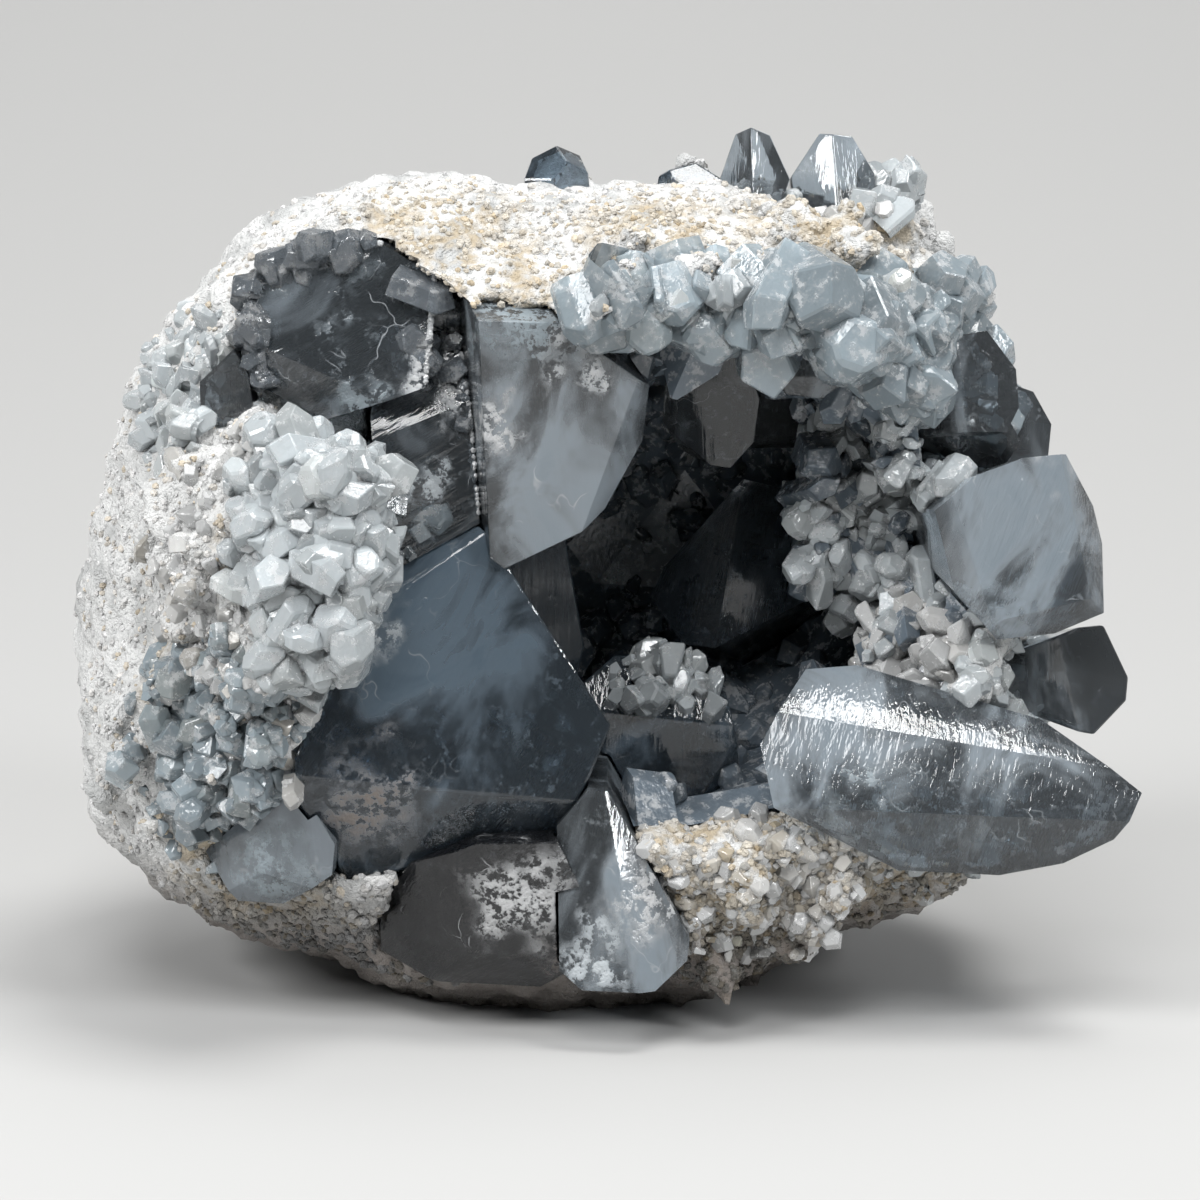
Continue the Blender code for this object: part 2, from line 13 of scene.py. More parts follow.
import bpy
import numpy as np
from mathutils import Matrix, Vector


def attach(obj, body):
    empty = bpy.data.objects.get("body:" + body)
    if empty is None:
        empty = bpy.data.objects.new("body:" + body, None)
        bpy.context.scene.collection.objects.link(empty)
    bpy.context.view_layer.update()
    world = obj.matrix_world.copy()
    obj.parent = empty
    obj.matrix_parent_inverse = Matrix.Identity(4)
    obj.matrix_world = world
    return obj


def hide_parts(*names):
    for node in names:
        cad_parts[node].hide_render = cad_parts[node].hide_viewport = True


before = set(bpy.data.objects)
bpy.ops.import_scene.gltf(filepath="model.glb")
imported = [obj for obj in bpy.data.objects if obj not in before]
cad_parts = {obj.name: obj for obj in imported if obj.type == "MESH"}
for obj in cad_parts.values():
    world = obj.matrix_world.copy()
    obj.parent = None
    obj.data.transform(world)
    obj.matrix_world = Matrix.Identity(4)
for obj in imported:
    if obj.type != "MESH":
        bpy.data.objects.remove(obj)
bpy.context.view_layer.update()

MM = 0.001
SEED = 20

# What the materials share: sizes in millimetres, and colours.
CELESTITE_IOR = 1.62
CLOUD_SIZE, WAVE_SIZE, LINE_SIZE, RUBBLE_SIZE = 11, 9, 1.0, 1.5
CRACK_SIZE, CRACK_WIDTH, CRACK_WHITE = 9, 0.018, (0.85, 0.88, 0.9)
FACET_CLOUD_SIZE, FACET_LINE_SIZE, FACET_WHITE = 1.6, 0.6, (0.92, 0.93, 0.94)
CHALK_GRAIN, CHALK_PATCH, STAIN_SIZE = 1.3, 9, 5
WISP_SIZE = 3.2

# Healed cracks: the cells of their grid, how far inside the crystal's faces they end and how high their
# waves are, in millimetres.
VEIL_CELLS = 26
VEIL_INSET = 0.8
BROAD_WAVE, CROSS_WAVE, FINE_WAVE = 0.9, 0.6, 0.3

# Small crystals: how worn their edges are, how far they lean, and how much their colours differ.
SMALL_WEAR = 0.05
LEAN = 0.5
MOSTLY_SMALL = 1.9
SHADE_MEAN, SHADE_SPREAD = -0.04, 0.13
TAN_LOSS = (0.1, 0.3, 0.6)

# Grains: how much of each colour a warm or a stained one loses, and how near the floor they may lie.
WARM_LOSS = (0.12, 0.24, 0.42)
STAIN_LOSS = (0.15, 0.22, 0.34)
LOWEST_GRAIN = 1.2

Triple = tuple[float, float, float]
Colour = tuple[float, float, float]
Socket = bpy.types.NodeSocket
Material = bpy.types.Material
Object = bpy.types.Object

log = logging.getLogger("geode")


class Slot(Enum):
    """The record's material slots."""

    RIND = "rind"
    DRUSE = "druse"
    DARK = "dark_crystal"
    BLUE = "blue_crystal"


def deselect() -> None:
    """Leaves nothing selected, so that the next operator acts on its own object alone."""
    bpy.ops.object.select_all(action="DESELECT")


def activate(obj: Object) -> None:
    """Selects one object and makes it the active one.

    Args:
        obj: The object that the next operators act on.
    """
    deselect()
    obj.select_set(True)
    bpy.context.view_layer.objects.active = obj


def apply_modifiers(obj: Object) -> None:
    """Applies every modifier of an object, first to last.

    Args:
        obj: The object to finish.
    """
    activate(obj)
    for modifier in list(obj.modifiers):
        bpy.ops.object.modifier_apply(modifier=modifier.name)


def wear_edges(obj: Object, width: float, segments: int, angle: float) -> None:
    """Bevels the sharp edges of an object.

    Args:
        obj: The object.
        width: The width of the bevel, in the object's units.
        segments: How many strips the bevel has.
        angle: The angle in degrees past which an edge is sharp.
    """
    bevel = obj.modifiers.new("worn_edges", "BEVEL")
    bevel.width = width
    bevel.segments = segments
    bevel.limit_method = "ANGLE"
    bevel.angle_limit = math.radians(angle)
    apply_modifiers(obj)


def copy_of_node(node: str, name: str) -> Object:
    """Copies a solid's mesh into a new object, with its loose triangles merged.

    Args:
        node: The name of the solid.
        name: The name of the new object.

    Returns:
        The new object, with no material.
    """
    copy = bpy.data.objects.new(name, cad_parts[node].data.copy())
    bpy.context.scene.collection.objects.link(copy)
    copy.data.materials.clear()
    activate(copy)
    bpy.ops.object.mode_set(mode="EDIT")
    bpy.ops.mesh.select_all(action="SELECT")
    bpy.ops.mesh.remove_doubles(threshold=0.01 * MM)
    bpy.ops.object.mode_set(mode="OBJECT")
    return copy


def own_piece(piece: Object, slot: Slot, material: Material, *nodes: str) -> None:
    """Gives a finished piece its material and body, and reports it.

    Args:
        piece: The finished object.
        slot: The record's slot that it takes its finish from; not used.
        material: The material that it wears.
        nodes: The solids that it stands for, if any.
    """
    piece.data.materials.clear()
    piece.data.materials.append(material)
    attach(piece, "root")
    if nodes:
        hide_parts(*nodes)
    piece.data.calc_loop_triangles()
    log.info("%s: %d triangles", piece.name, len(piece.data.loop_triangles))


class Graph:
    """A material's nodes, with short calls for the ones that the finishes share."""

    def __init__(self, name: str) -> None:
        """Starts a material with a Principled shader.

        Args:
            name: The material's name.
        """
        self.material = bpy.data.materials.new(name)
        self.material.use_nodes = True
        self.tree = self.material.node_tree
        self.place = self.tree.nodes.new("ShaderNodeTexCoord").outputs["Object"]

    def put(self, target: Socket, value: object) -> None:
        """Links a socket to an input, or sets the input to a plain value.

        Args:
            target: The input.
            value: A socket, a number, a vector or a colour.
        """
        if isinstance(value, Socket):
            self.tree.links.new(value, target)
        elif target.type == "RGBA":
            target.default_value = (*value, 1)
        else:
            target.default_value = value

    def add(self, kind: str, inputs: dict[str | int, object], **settings: str) -> bpy.types.Node:
        """Adds a node and fills its inputs.

        Args:
            kind: The node's type, without the ShaderNode before it.
            inputs: What goes into each input, by its name or number.
            **settings: The node's own settings.

        Returns:
            The node.
        """
        node = self.tree.nodes.new("ShaderNode" + kind)
        for key, value in settings.items():
            setattr(node, key, value)
        for key, value in inputs.items():
            self.put(node.inputs[key], value)
        return node

    def finish(self, inputs: dict[str, object]) -> Material:
        """Fills the inputs of the Principled shader.

        Args:
            inputs: What goes into each input, by its name.

        Returns:
            The material.
        """
        for key, value in inputs.items():
            self.put(self.tree.nodes["Principled BSDF"].inputs[key], value)
        return self.material

    def stretched(self, scale: Triple, turn: Triple = (0, 0, 0)) -> Socket:
        """The object's coordinates, turned and then stretched.

        Args:
            scale: How much each axis is multiplied.
            turn: The rotation in degrees.

        Returns:
            The vector socket.
        """
        inputs = {"Vector": self.place, "Rotation": [math.radians(angle) for angle in turn],
                  "Scale": [1 / part for part in scale]}
        return self.add("Mapping", inputs, vector_type="TEXTURE").outputs["Vector"]

    def noise(self, size: float, detail: float = 3, rough: float = 0.55, twist: float = 0,
              vector: Socket | None = None) -> Socket:
        """Soft noise from 0 to 1.

        Args:
            size: The size of its blotches in millimetres.
            detail: How many finer layers it has.
            rough: How strong the finer layers are.
            twist: How much it is distorted.
            vector: The coordinates, or none for the object's own.

        Returns:
            The noise's factor.
        """
        inputs = {"Vector": vector or self.place, "Scale": 1 / (size * MM), "Detail": detail,
                  "Roughness": rough, "Distortion": twist}
        return self.add("TexNoise", inputs).outputs["Fac"]

    def cell_edges(self, size: float, vector: Socket) -> Socket:
        """The distance to the edges of cells.

        Args:
            size: The size of a cell in millimetres.
            vector: The coordinates.

        Returns:
            The distance.
        """
        inputs = {"Vector": vector, "Scale": 1 / (size * MM)}
        return self.add("TexVoronoi", inputs, feature="DISTANCE_TO_EDGE").outputs["Distance"]

    def range(self, value: Socket, low: float, high: float, start: float = 0, end: float = 1) -> Socket:
        """Maps a value between low and high to start and end, and clamps it.

        Args:
            value: The value to map.
            low: The value that gives start.
            high: The value that gives end.
            start: The lower end of the result.
            end: The upper end of the result.

        Returns:
            The mapped value.
        """
        inputs = {"Value": value, "From Min": low, "From Max": high, "To Min": start, "To Max": end}
        return self.add("MapRange", inputs, interpolation_type="SMOOTHSTEP").outputs["Result"]

    def near(self, middle: Triple, radius: float, soft: float = 0.6, vector: Socket | None = None) -> Socket:
        """A factor that is 1 at a place and 0 past a radius, both in millimetres.

        Args:
            middle: The place.
            radius: Where the factor reaches 0.
            soft: The share of the radius over which it falls.
            vector: The coordinates, or none for the object's own.

        Returns:
            The factor.
        """
        inputs = {0: vector or self.place, 1: [part * MM for part in middle]}
        away = self.add("VectorMath", inputs, operation="DISTANCE").outputs["Value"]
        return self.range(away, radius * (1 - soft) * MM, radius * MM, 1, 0)

    def math(self, kind: str, first: object, second: object) -> Socket:
        """Arithmetic on two values.

        Args:
            kind: The operation, such as MULTIPLY.
            first: The first value.
            second: The second value.

        Returns:
            The result.
        """
        return self.add("Math", {0: first, 1: second}, operation=kind).outputs["Value"]

    def warped(self, size: float, reach: float) -> Socket:
        """The object's coordinates, pushed about by soft noise.

        Args:
            size: The size of the noise's blotches in millimetres.
            reach: How far the coordinates are pushed, in millimetres.

        Returns:
            The vector socket.
        """
        noise = self.add("TexNoise", {"Vector": self.place, "Scale": 1 / (size * MM)})
        push = self.add("VectorMath", {0: noise.outputs["Color"], 1: [2 * reach * MM] * 3, 2: self.place},
                        operation="MULTIPLY_ADD")
        back = self.add("VectorMath", {0: push.outputs["Vector"], 1: [reach * MM] * 3}, operation="SUBTRACT")
        return back.outputs["Vector"]

    def blend(self, share: object, first: object, second: object) -> Socket:
        """Blends two colours.

        Args:
            share: How much of the second colour there is.
            first: The first colour.
            second: The second colour.

        Returns:
            The blended colour.
        """
        return self.add("Mix", {"Factor": share, 6: first, 7: second}, data_type="RGBA").outputs[2]

    def bump(self, height: Socket, depth: float, strength: object = 1, under: Socket | None = None) -> Socket:
        """A bumped normal.

        Args:
            height: The relief from 0 to 1.
            depth: How deep the relief is, in millimetres.
            strength: How strongly it shows.
            under: The normal of a coarser bump that this one goes over.

        Returns:
            The normal.
        """
        inputs = {"Strength": strength, "Distance": depth * MM, "Height": height}
        if under:
            inputs["Normal"] = under
        return self.add("Bump", inputs).outputs["Normal"]

    def attribute(self, name: str) -> Socket:
        """The colour that the mesh holds under a name.

        Args:
            name: The attribute's name.

        Returns:
            The colour.
        """
        return self.add("Attribute", {}, attribute_name=name).outputs["Color"]

    def absorb(self, colour: Colour, density: float) -> None:
        """Makes the inside take up light.

        Args:
            colour: The colour that passes best.
            density: How strongly the rest is taken up, per metre.
        """
        inside = self.add("VolumeAbsorption", {"Color": colour, "Density": density})
        self.put(self.tree.nodes["Material Output"].inputs["Volume"], inside.outputs["Volume"])


class Tone(Enum):
    """The kinds of celestite: the colours of the clear parts, of the cloudy parts and of what passes best."""

    INK = ((0.12, 0.13, 0.15), (0.07, 0.075, 0.09), (0.4, 0.46, 0.52))
    DEEP = ((0.36, 0.46, 0.56), (0.13, 0.18, 0.23), (0.40, 0.57, 0.70))
    PALE = ((0.64, 0.71, 0.77), (0.33, 0.39, 0.44), (0.52, 0.65, 0.74))
    SMOKE = ((0.46, 0.53, 0.59), (0.22, 0.255, 0.29), (0.46, 0.58, 0.67))


@dataclass(frozen=True)
class CrystalFinish:
    """Clear to smoky celestite: glossy faces with fine growth lines over a body that takes up light.

    Attributes:
        name: The material's name.
        tone: Its kind of celestite.
        haze_share: How much of the crystal is cloudy, from 0 to 1.
        density: How strongly the crystal takes up light, per metre.
        cracks: How strongly healed cracks show, from 0 to 1.
        rough: The roughness of its faces.
        lines: The turn of its growth lines, in degrees.
        line_depth: The depth of the growth lines in millimetres.
        wave: The depth of the broad waves of its faces in millimetres.
        spots: The middle and radius in millimetres and the colour of each rough or frosted spot; some of the
            pale ones are painted highlights.
        haze_and_highlight: The middle and radius in millimetres of the place where the crystal is cloudiest
            and palest, partly its own milkiness and partly a painted highlight.
        clear: How much light goes into the clear parts, from 0 to 1.
        cloudy: How much light goes into the cloudy parts, from 0 to 1.
    """

    name: str
    tone: Tone
    haze_share: float
    density: float
    cracks: float = 0.5
    rough: float = 0.05
    lines: Triple = (0, 0, 0)
    line_depth: float = 0.05
    wave: float = 0.9
    spots: tuple[tuple[Triple, float, Colour], ...] = ()
    haze_and_highlight: tuple[Triple, float] | None = None
    clear: float = 0.94
    cloudy: float = 0.4

    def make(self) -> Material:
        """Builds the material.

        Returns:
            The finished material.
        """
        graph = Graph(self.name)
        body, milk, passing = self.tone.value
        clouds = graph.noise(CLOUD_SIZE, 4, 0.6, 0.8, graph.stretched((1, 1, 0.6), self.lines))
        # Painted highlight, partly real milkiness: the crystal is made cloudier and paler about one place.
        if self.haze_and_highlight:
            clouds = graph.math("ADD", clouds, graph.math("MULTIPLY", graph.near(*self.haze_and_highlight, 0.95), 0.22))
        haze = graph.range(clouds, 0.70 - 0.5 * self.haze_share, 1.05 - 0.5 * self.haze_share)
        ragged = graph.warped(5, 6)
        thin = graph.range(graph.cell_edges(CRACK_SIZE, ragged), 0.0, CRACK_WIDTH, 1, 0)
        some = graph.range(graph.noise(7, 3, 0.6), 0.5, 0.62)
        cracks = graph.math("MULTIPLY", graph.math("MULTIPLY", thin, some), self.cracks)
        share = graph.math("MAXIMUM", haze, cracks)
        colour = graph.blend(graph.math("MULTIPLY", cracks, 0.8), graph.blend(share, body, milk), CRACK_WHITE)
        rubble = graph.noise(RUBBLE_SIZE, 3, 0.75)
        frost = graph.range(rubble, 0.56, 0.66, 0, 0.3)
        for middle, radius, tint in self.spots:
            bitten = graph.range(rubble, 0.40, 0.56, 0.1, 1)
            spot = graph.math("MULTIPLY", graph.near(middle, radius * 1.25, 0.75, ragged), bitten)
            colour = graph.blend(spot, colour, tint)
            frost = graph.math("MAXIMUM", frost, spot)
        if self.spots:
            share = graph.math("MAXIMUM", share, frost)
        lines = graph.noise(LINE_SIZE, 2, 0.6, 0, graph.stretched((1.6, 1, 0.06), self.lines))
        waves = graph.bump(graph.noise(WAVE_SIZE, 1, 0.5), self.wave, 0.4)
        graph.absorb(passing, self.density)
        return graph.finish({
            "Base Color": colour,
            "Transmission Weight": graph.range(share, 0, 1, self.clear, self.cloudy),
            "Roughness": graph.range(frost, 0, 1, self.rough, 0.5),
            "Normal": graph.bump(rubble, 0.45, frost, graph.bump(lines, self.line_depth, 1, waves)),
            "IOR": CELESTITE_IOR,
        })


@dataclass(frozen=True)
class DruseFinish:
    """Small translucent crystals, whose colour varies from one to the next.

    Attributes:
        name: The material's name.
        clear: How much light goes in, from 0 to 1.
        rough: The roughness of the facets.
    """

    name: str
    clear: float = 0.4
    rough: float = 0.1

    def make(self) -> Material:
        """Builds the material.

        Returns:
            The finished material.
        """
        graph = Graph(self.name)
        clouds = graph.range(graph.noise(FACET_CLOUD_SIZE, 3, 0.7), 0.46, 0.7)
        tint = graph.attribute("tint")
        lines = graph.noise(FACET_LINE_SIZE, 2, 0.6, 0, graph.stretched((1, 1, 0.25), (30, 20, 0)))
        return graph.finish({
            "Base Color": graph.blend(clouds, tint, graph.blend(0.6, tint, FACET_WHITE)),
            "Roughness": graph.range(clouds, 0, 1, self.rough, 0.45),
            "Normal": graph.bump(lines, 0.09, 0.8),
            "IOR": CELESTITE_IOR,
            "Transmission Weight": self.clear,
        })


@dataclass(frozen=True)
class RindFinish:
    """Chalky granular rind: white, with grey and ochre stains, and painted shade that darkens it towards the
    bottom.

    Attributes:
        name: The material's name.
        chalk: The colour of the clean parts.
        ash: The colour of the grey parts.
        ochre: The colour of the stains.
        underside_shade: The colour of the painted shade that the rind darkens to towards the bottom.
        tinted: Whether the colour also follows the mesh's own tint.
        stained: The middle and radius of each stained place, in millimetres.
    """

    name: str
    chalk: Colour = (0.76, 0.765, 0.76)
    ash: Colour = (0.42, 0.43, 0.43)
    ochre: Colour = (0.46, 0.37, 0.24)
    underside_shade: Colour = (0.22, 0.19, 0.17)
    tinted: bool = False
    stained: tuple[tuple[Triple, float], ...] = (
        ((-12, -28, 85), 15), ((-18, -20, 91), 14), ((6, -20, 90), 12), ((26, -18, 88), 17),
        ((16, -33, 16), 22), ((34, -24, 14), 14), ((-40, -30, 16), 14), ((-36, -36, 55), 8),
        ((-46, -30, 40), 8),
    )

    def make(self) -> Material:
        """Builds the material.

        Returns:
            The finished material.
        """
        graph = Graph(self.name)
        sugar = graph.noise(CHALK_GRAIN, 3, 0.75)
        speck = graph.range(sugar, 0.5, 0.66, 0, 0.6)
        if self.tinted:
            colour = graph.blend(graph.math("MULTIPLY", speck, 0.5), graph.attribute("tint"), self.ash)
        else:
            colour = self.weathered_and_shaded(graph, speck)
        return graph.finish({
            "Base Color": colour,
            "Roughness": graph.range(sugar, 0.3, 0.7, 0.55, 0.95),
            "Normal": graph.bump(sugar, 1.0, 1),
            "Specular IOR Level": 0.4,
        })

    def weathered_and_shaded(self, graph: Graph, speck: Socket) -> Socket:
        """The colour of the bare rind: specks, grey patches, stains, and painted shade that darkens it
        towards the bottom.

        Args:
            graph: The material's nodes.
            speck: How grey each speck is.

        Returns:
            The colour.
        """
        grey = graph.math("MULTIPLY", graph.range(graph.noise(CHALK_PATCH, 3, 0.62), 0.48, 0.66), 0.8)
        colour = graph.blend(graph.math("MAXIMUM", grey, speck), self.chalk, self.ash)
        stains = graph.range(graph.noise(STAIN_SIZE, 3, 0.7), 0.42, 0.62, 0, 0.85)
        reach = 0
        for middle, radius in self.stained:
            reach = graph.math("MAXIMUM", reach, graph.near(middle, radius))
        colour = graph.blend(graph.math("MULTIPLY", reach, stains), colour, self.ochre)
        # Painted shade: the colour darkens towards the bottom, where the underside is out of the light.
        above = graph.add("SeparateXYZ", {0: graph.place}).outputs["Z"]
        height = graph.math("ADD", above, graph.math("MULTIPLY", graph.noise(CHALK_PATCH, 2, 0.6), 14 * MM))
        return graph.blend(graph.range(height, 13 * MM, 29 * MM, 0.88, 0), colour, self.underside_shade)

    def stained_and_shaded(self, places: np.ndarray) -> np.ndarray:
        """How stained each place is, and how much painted shade darkens it towards the bottom.

        Args:
            places: The places, one per row.

        Returns:
            The factor that each colour channel is multiplied by, one row per place.
        """
        reach = np.zeros((len(places), 1))
        for middle, radius in self.stained:
            away = np.linalg.norm(places / MM - np.array(middle), axis=1, keepdims=True)
            reach = np.maximum(reach, np.clip(1.3 - 1.3 * away / radius, 0, 1))
        # Painted shade: places near the floor are darkened, down to a quarter of their colour.
        low = np.clip((places[:, 2:] / MM - 4) / 18, 0.25, 1)
        return low * (1 - reach * np.array([STAIN_LOSS]))


@dataclass(frozen=True)
class VeilFinish:
    """A healed crack inside a crystal: a wisp of white that light goes round."""

    name: str = "veil"
    colour: Colour = (0.86, 0.91, 0.95)

    def make(self) -> Material:
        """Builds the material.

        Returns:
            The finished material.
        """
        graph = Graph(self.name)
        wisps = graph.range(graph.noise(WISP_SIZE, 3, 0.7, 0.8), 0.5, 0.72, 0, 0.34)
        return graph.finish({"Base Color": self.colour, "Roughness": 0.35, "Alpha": wisps})


@dataclass
class Region:
    """A part of a surface that something grows on: an egg-shaped neighbourhood of a place.

    Attributes:
        middle: The place, in millimetres.
        radii: How far the neighbourhood reaches along each axis, in millimetres.
        facing: The direction that its faces look in, or none for any.
    """

    middle: Triple
    radii: Triple
    facing: Triple | None = None

    def weight(self, places: np.ndarray, normals: np.ndarray) -> np.ndarray:
        """How likely growth is at each place.

        Args:
            places: The places, one per row.
            normals: The surface's normals there.

        Returns:
            A weight from 0 to 1 for each place.
        """
        away = (places / MM - np.array(self.middle)) / np.array(self.radii)
        inside = np.clip(1.25 - (away**2).sum(axis=1), 0, 1)
        if self.facing is None:
            return inside
        way = np.array(self.facing) / np.linalg.norm(self.facing)
        return inside * np.clip(normals @ way + 0.25, 0, 1)


@dataclass
class Host:
    """A surface that small crystals grow on, as triangles."""

    corners: np.ndarray
    normals: np.ndarray
    areas: np.ndarray

    @classmethod
    def of(cls, piece: Object) -> "Host":
        """Reads a piece's triangles.

        Args:
            piece: The piece, in place.

        Returns:
            The host.
        """
        mesh = piece.data
        mesh.calc_loop_triangles()
        places = np.empty(len(mesh.vertices) * 3, np.float32)
        mesh.vertices.foreach_get("co", places)
        faces = np.empty(len(mesh.loop_triangles) * 3, np.int32)
        mesh.loop_triangles.foreach_get("vertices", faces)
        corners = places.reshape(-1, 3)[faces.reshape(-1, 3)].astype(float)
        cross = np.cross(corners[:, 1] - corners[:, 0], corners[:, 2] - corners[:, 0])
        length = np.linalg.norm(cross, axis=1)
        return cls(corners, cross / np.maximum(length, 1e-12)[:, None], length / 2)

    def pick(self, region: Region, count: int, rng: np.random.Generator) -> tuple[np.ndarray, np.ndarray]:
        """Picks places on the surface at random.

        Args:
            region: Where growth is likely.
            count: How many places to pick.
            rng: The source of chance.

        Returns:
            The places and the surface's normals there.
        """
        weight = self.areas * region.weight(self.corners.mean(axis=1), self.normals)
        chosen = rng.choice(len(weight), count, p=weight / weight.sum())
        one, two = rng.random((2, count, 1))
        flip = one + two > 1
        one, two = np.where(flip, 1 - one, one), np.where(flip, 1 - two, two)
        first, second, third = self.corners[chosen].transpose(1, 0, 2)
        return first + one * (second - first) + two * (third - first), self.normals[chosen]


@dataclass
class Shape:
    """A small shape that is modelled once and copied many times: its corners and triangles."""

    corners: np.ndarray
    faces: np.ndarray

    @classmethod
    def taken_from(cls, obj: Object) -> "Shape":
        """Reads a modelled object's triangles, then removes the object.

        Args:
            obj: The modelled object.

        Returns:
            The shape.
        """
        obj.data.calc_loop_triangles()
        corners = np.array([vert.co for vert in obj.data.vertices], float)
        faces = np.array([tri.vertices for tri in obj.data.loop_triangles], int)
        bpy.data.objects.remove(obj, do_unlink=True)
        return cls(corners, faces)


def model_small_crystal(sides: int, flat: float, cuts: Sequence[tuple[float, float, float]]) -> Shape:
    """Models a stubby crystal one unit wide, with its foot at z = -0.5 and slanting faces on top.

    Args:
        sides: How many sides its prism has.
        flat: How thick it is against its width.
        cuts: The slanting faces: the direction in degrees, the steepness in degrees and the height.

    Returns:
        The crystal's shape.
    """
    deselect()
    bpy.ops.mesh.primitive_cylinder_add(vertices=sides, radius=0.5, depth=3, location=(0, 0, 1))
    obj = bpy.context.active_object
    bpy.ops.object.mode_set(mode="EDIT")
    bpy.ops.mesh.select_all(action="SELECT")
    bpy.ops.transform.resize(value=(1, flat, 1))
    for around, steep, height in cuts:
        turn, lean = math.radians(around), math.radians(steep)
        normal = (math.sin(lean) * math.cos(turn), math.sin(lean) * math.sin(turn), math.cos(lean))
        bpy.ops.mesh.select_all(action="SELECT")
        bpy.ops.mesh.bisect(plane_co=(0, 0, height), plane_no=normal, use_fill=True, clear_outer=True)
    bpy.ops.mesh.select_all(action="SELECT")
    bpy.ops.mesh.bisect(plane_co=(0, 0, -0.45), plane_no=(0, 0, 1), clear_inner=True)
    bpy.ops.object.mode_set(mode="OBJECT")
    bpy.ops.object.transform_apply(location=True, rotation=True, scale=True)
    wear_edges(obj, SMALL_WEAR, 1, 30)
    return Shape.taken_from(obj)


def model_grain() -> Shape:
    """Models one grain of the rind: a lumpy pebble of twenty faces.

    Returns:
        The grain's shape.
    """
    deselect()
    bpy.ops.mesh.primitive_ico_sphere_add(subdivisions=1, radius=0.5)
    obj = bpy.context.active_object
    bpy.ops.object.mode_set(mode="EDIT")
    bpy.ops.mesh.select_all(action="SELECT")
    bpy.ops.transform.resize(value=(1, 0.8, 0.7))
    bpy.ops.object.mode_set(mode="OBJECT")
    return Shape.taken_from(obj)


def axes_along(ways: np.ndarray, rng: np.random.Generator) -> np.ndarray:
    """Turns directions into full frames, each spun at random about its direction.

    Args:
        ways: The directions, one per row.
        rng: The source of chance.

    Returns:
        One 3 by 3 matrix per direction, whose third column is the direction.
    """
    up = ways / np.linalg.norm(ways, axis=1, keepdims=True)
    side = np.cross(up, rng.normal(size=up.shape))
    side /= np.maximum(np.linalg.norm(side, axis=1, keepdims=True), 1e-9)
    return np.stack([side, np.cross(up, side), up], axis=2)


def grow_copies(name: str, shapes: Sequence[Shape], places: np.ndarray, ways: np.ndarray, sizes: np.ndarray,
                tints: np.ndarray, rng: np.random.Generator) -> Object:
    """Joins many copies of a few shapes into one mesh.

    Args:
        name: The new object's name.
        shapes: The shapes to choose from.
        places: Where each copy stands.
        ways: The direction that each copy stands in.
        sizes: The width, thickness and length of each copy.
        tints: The colour of each copy.
        rng: The source of chance.

    Returns:
        The joined object, with the colours in its tint attribute.
    """
    frames = axes_along(ways, rng)
    kinds = rng.integers(len(shapes), size=len(places))
    corners, faces, colours = [], [], []
    start = 0
    for index, kind in enumerate(kinds):
        shape = shapes[kind]
        corners.append((shape.corners * sizes[index]) @ frames[index].T + places[index])
        faces.append(shape.faces + start)
        colours.append(np.repeat(tints[index][None], len(shape.corners), axis=0))
        start += len(shape.corners)
    mesh = bpy.data.meshes.new(name)
    mesh.from_pydata(np.concatenate(corners), [], np.concatenate(faces).tolist())
    tint = mesh.color_attributes.new("tint", "FLOAT_COLOR", "POINT")
    rgba = np.ones((start, 4), np.float32)
    rgba[:, :3] = np.concatenate(colours)
    tint.data.foreach_set("color", rgba.ravel())
    obj = bpy.data.objects.new(name, mesh)
    bpy.context.scene.collection.objects.link(obj)
    return obj


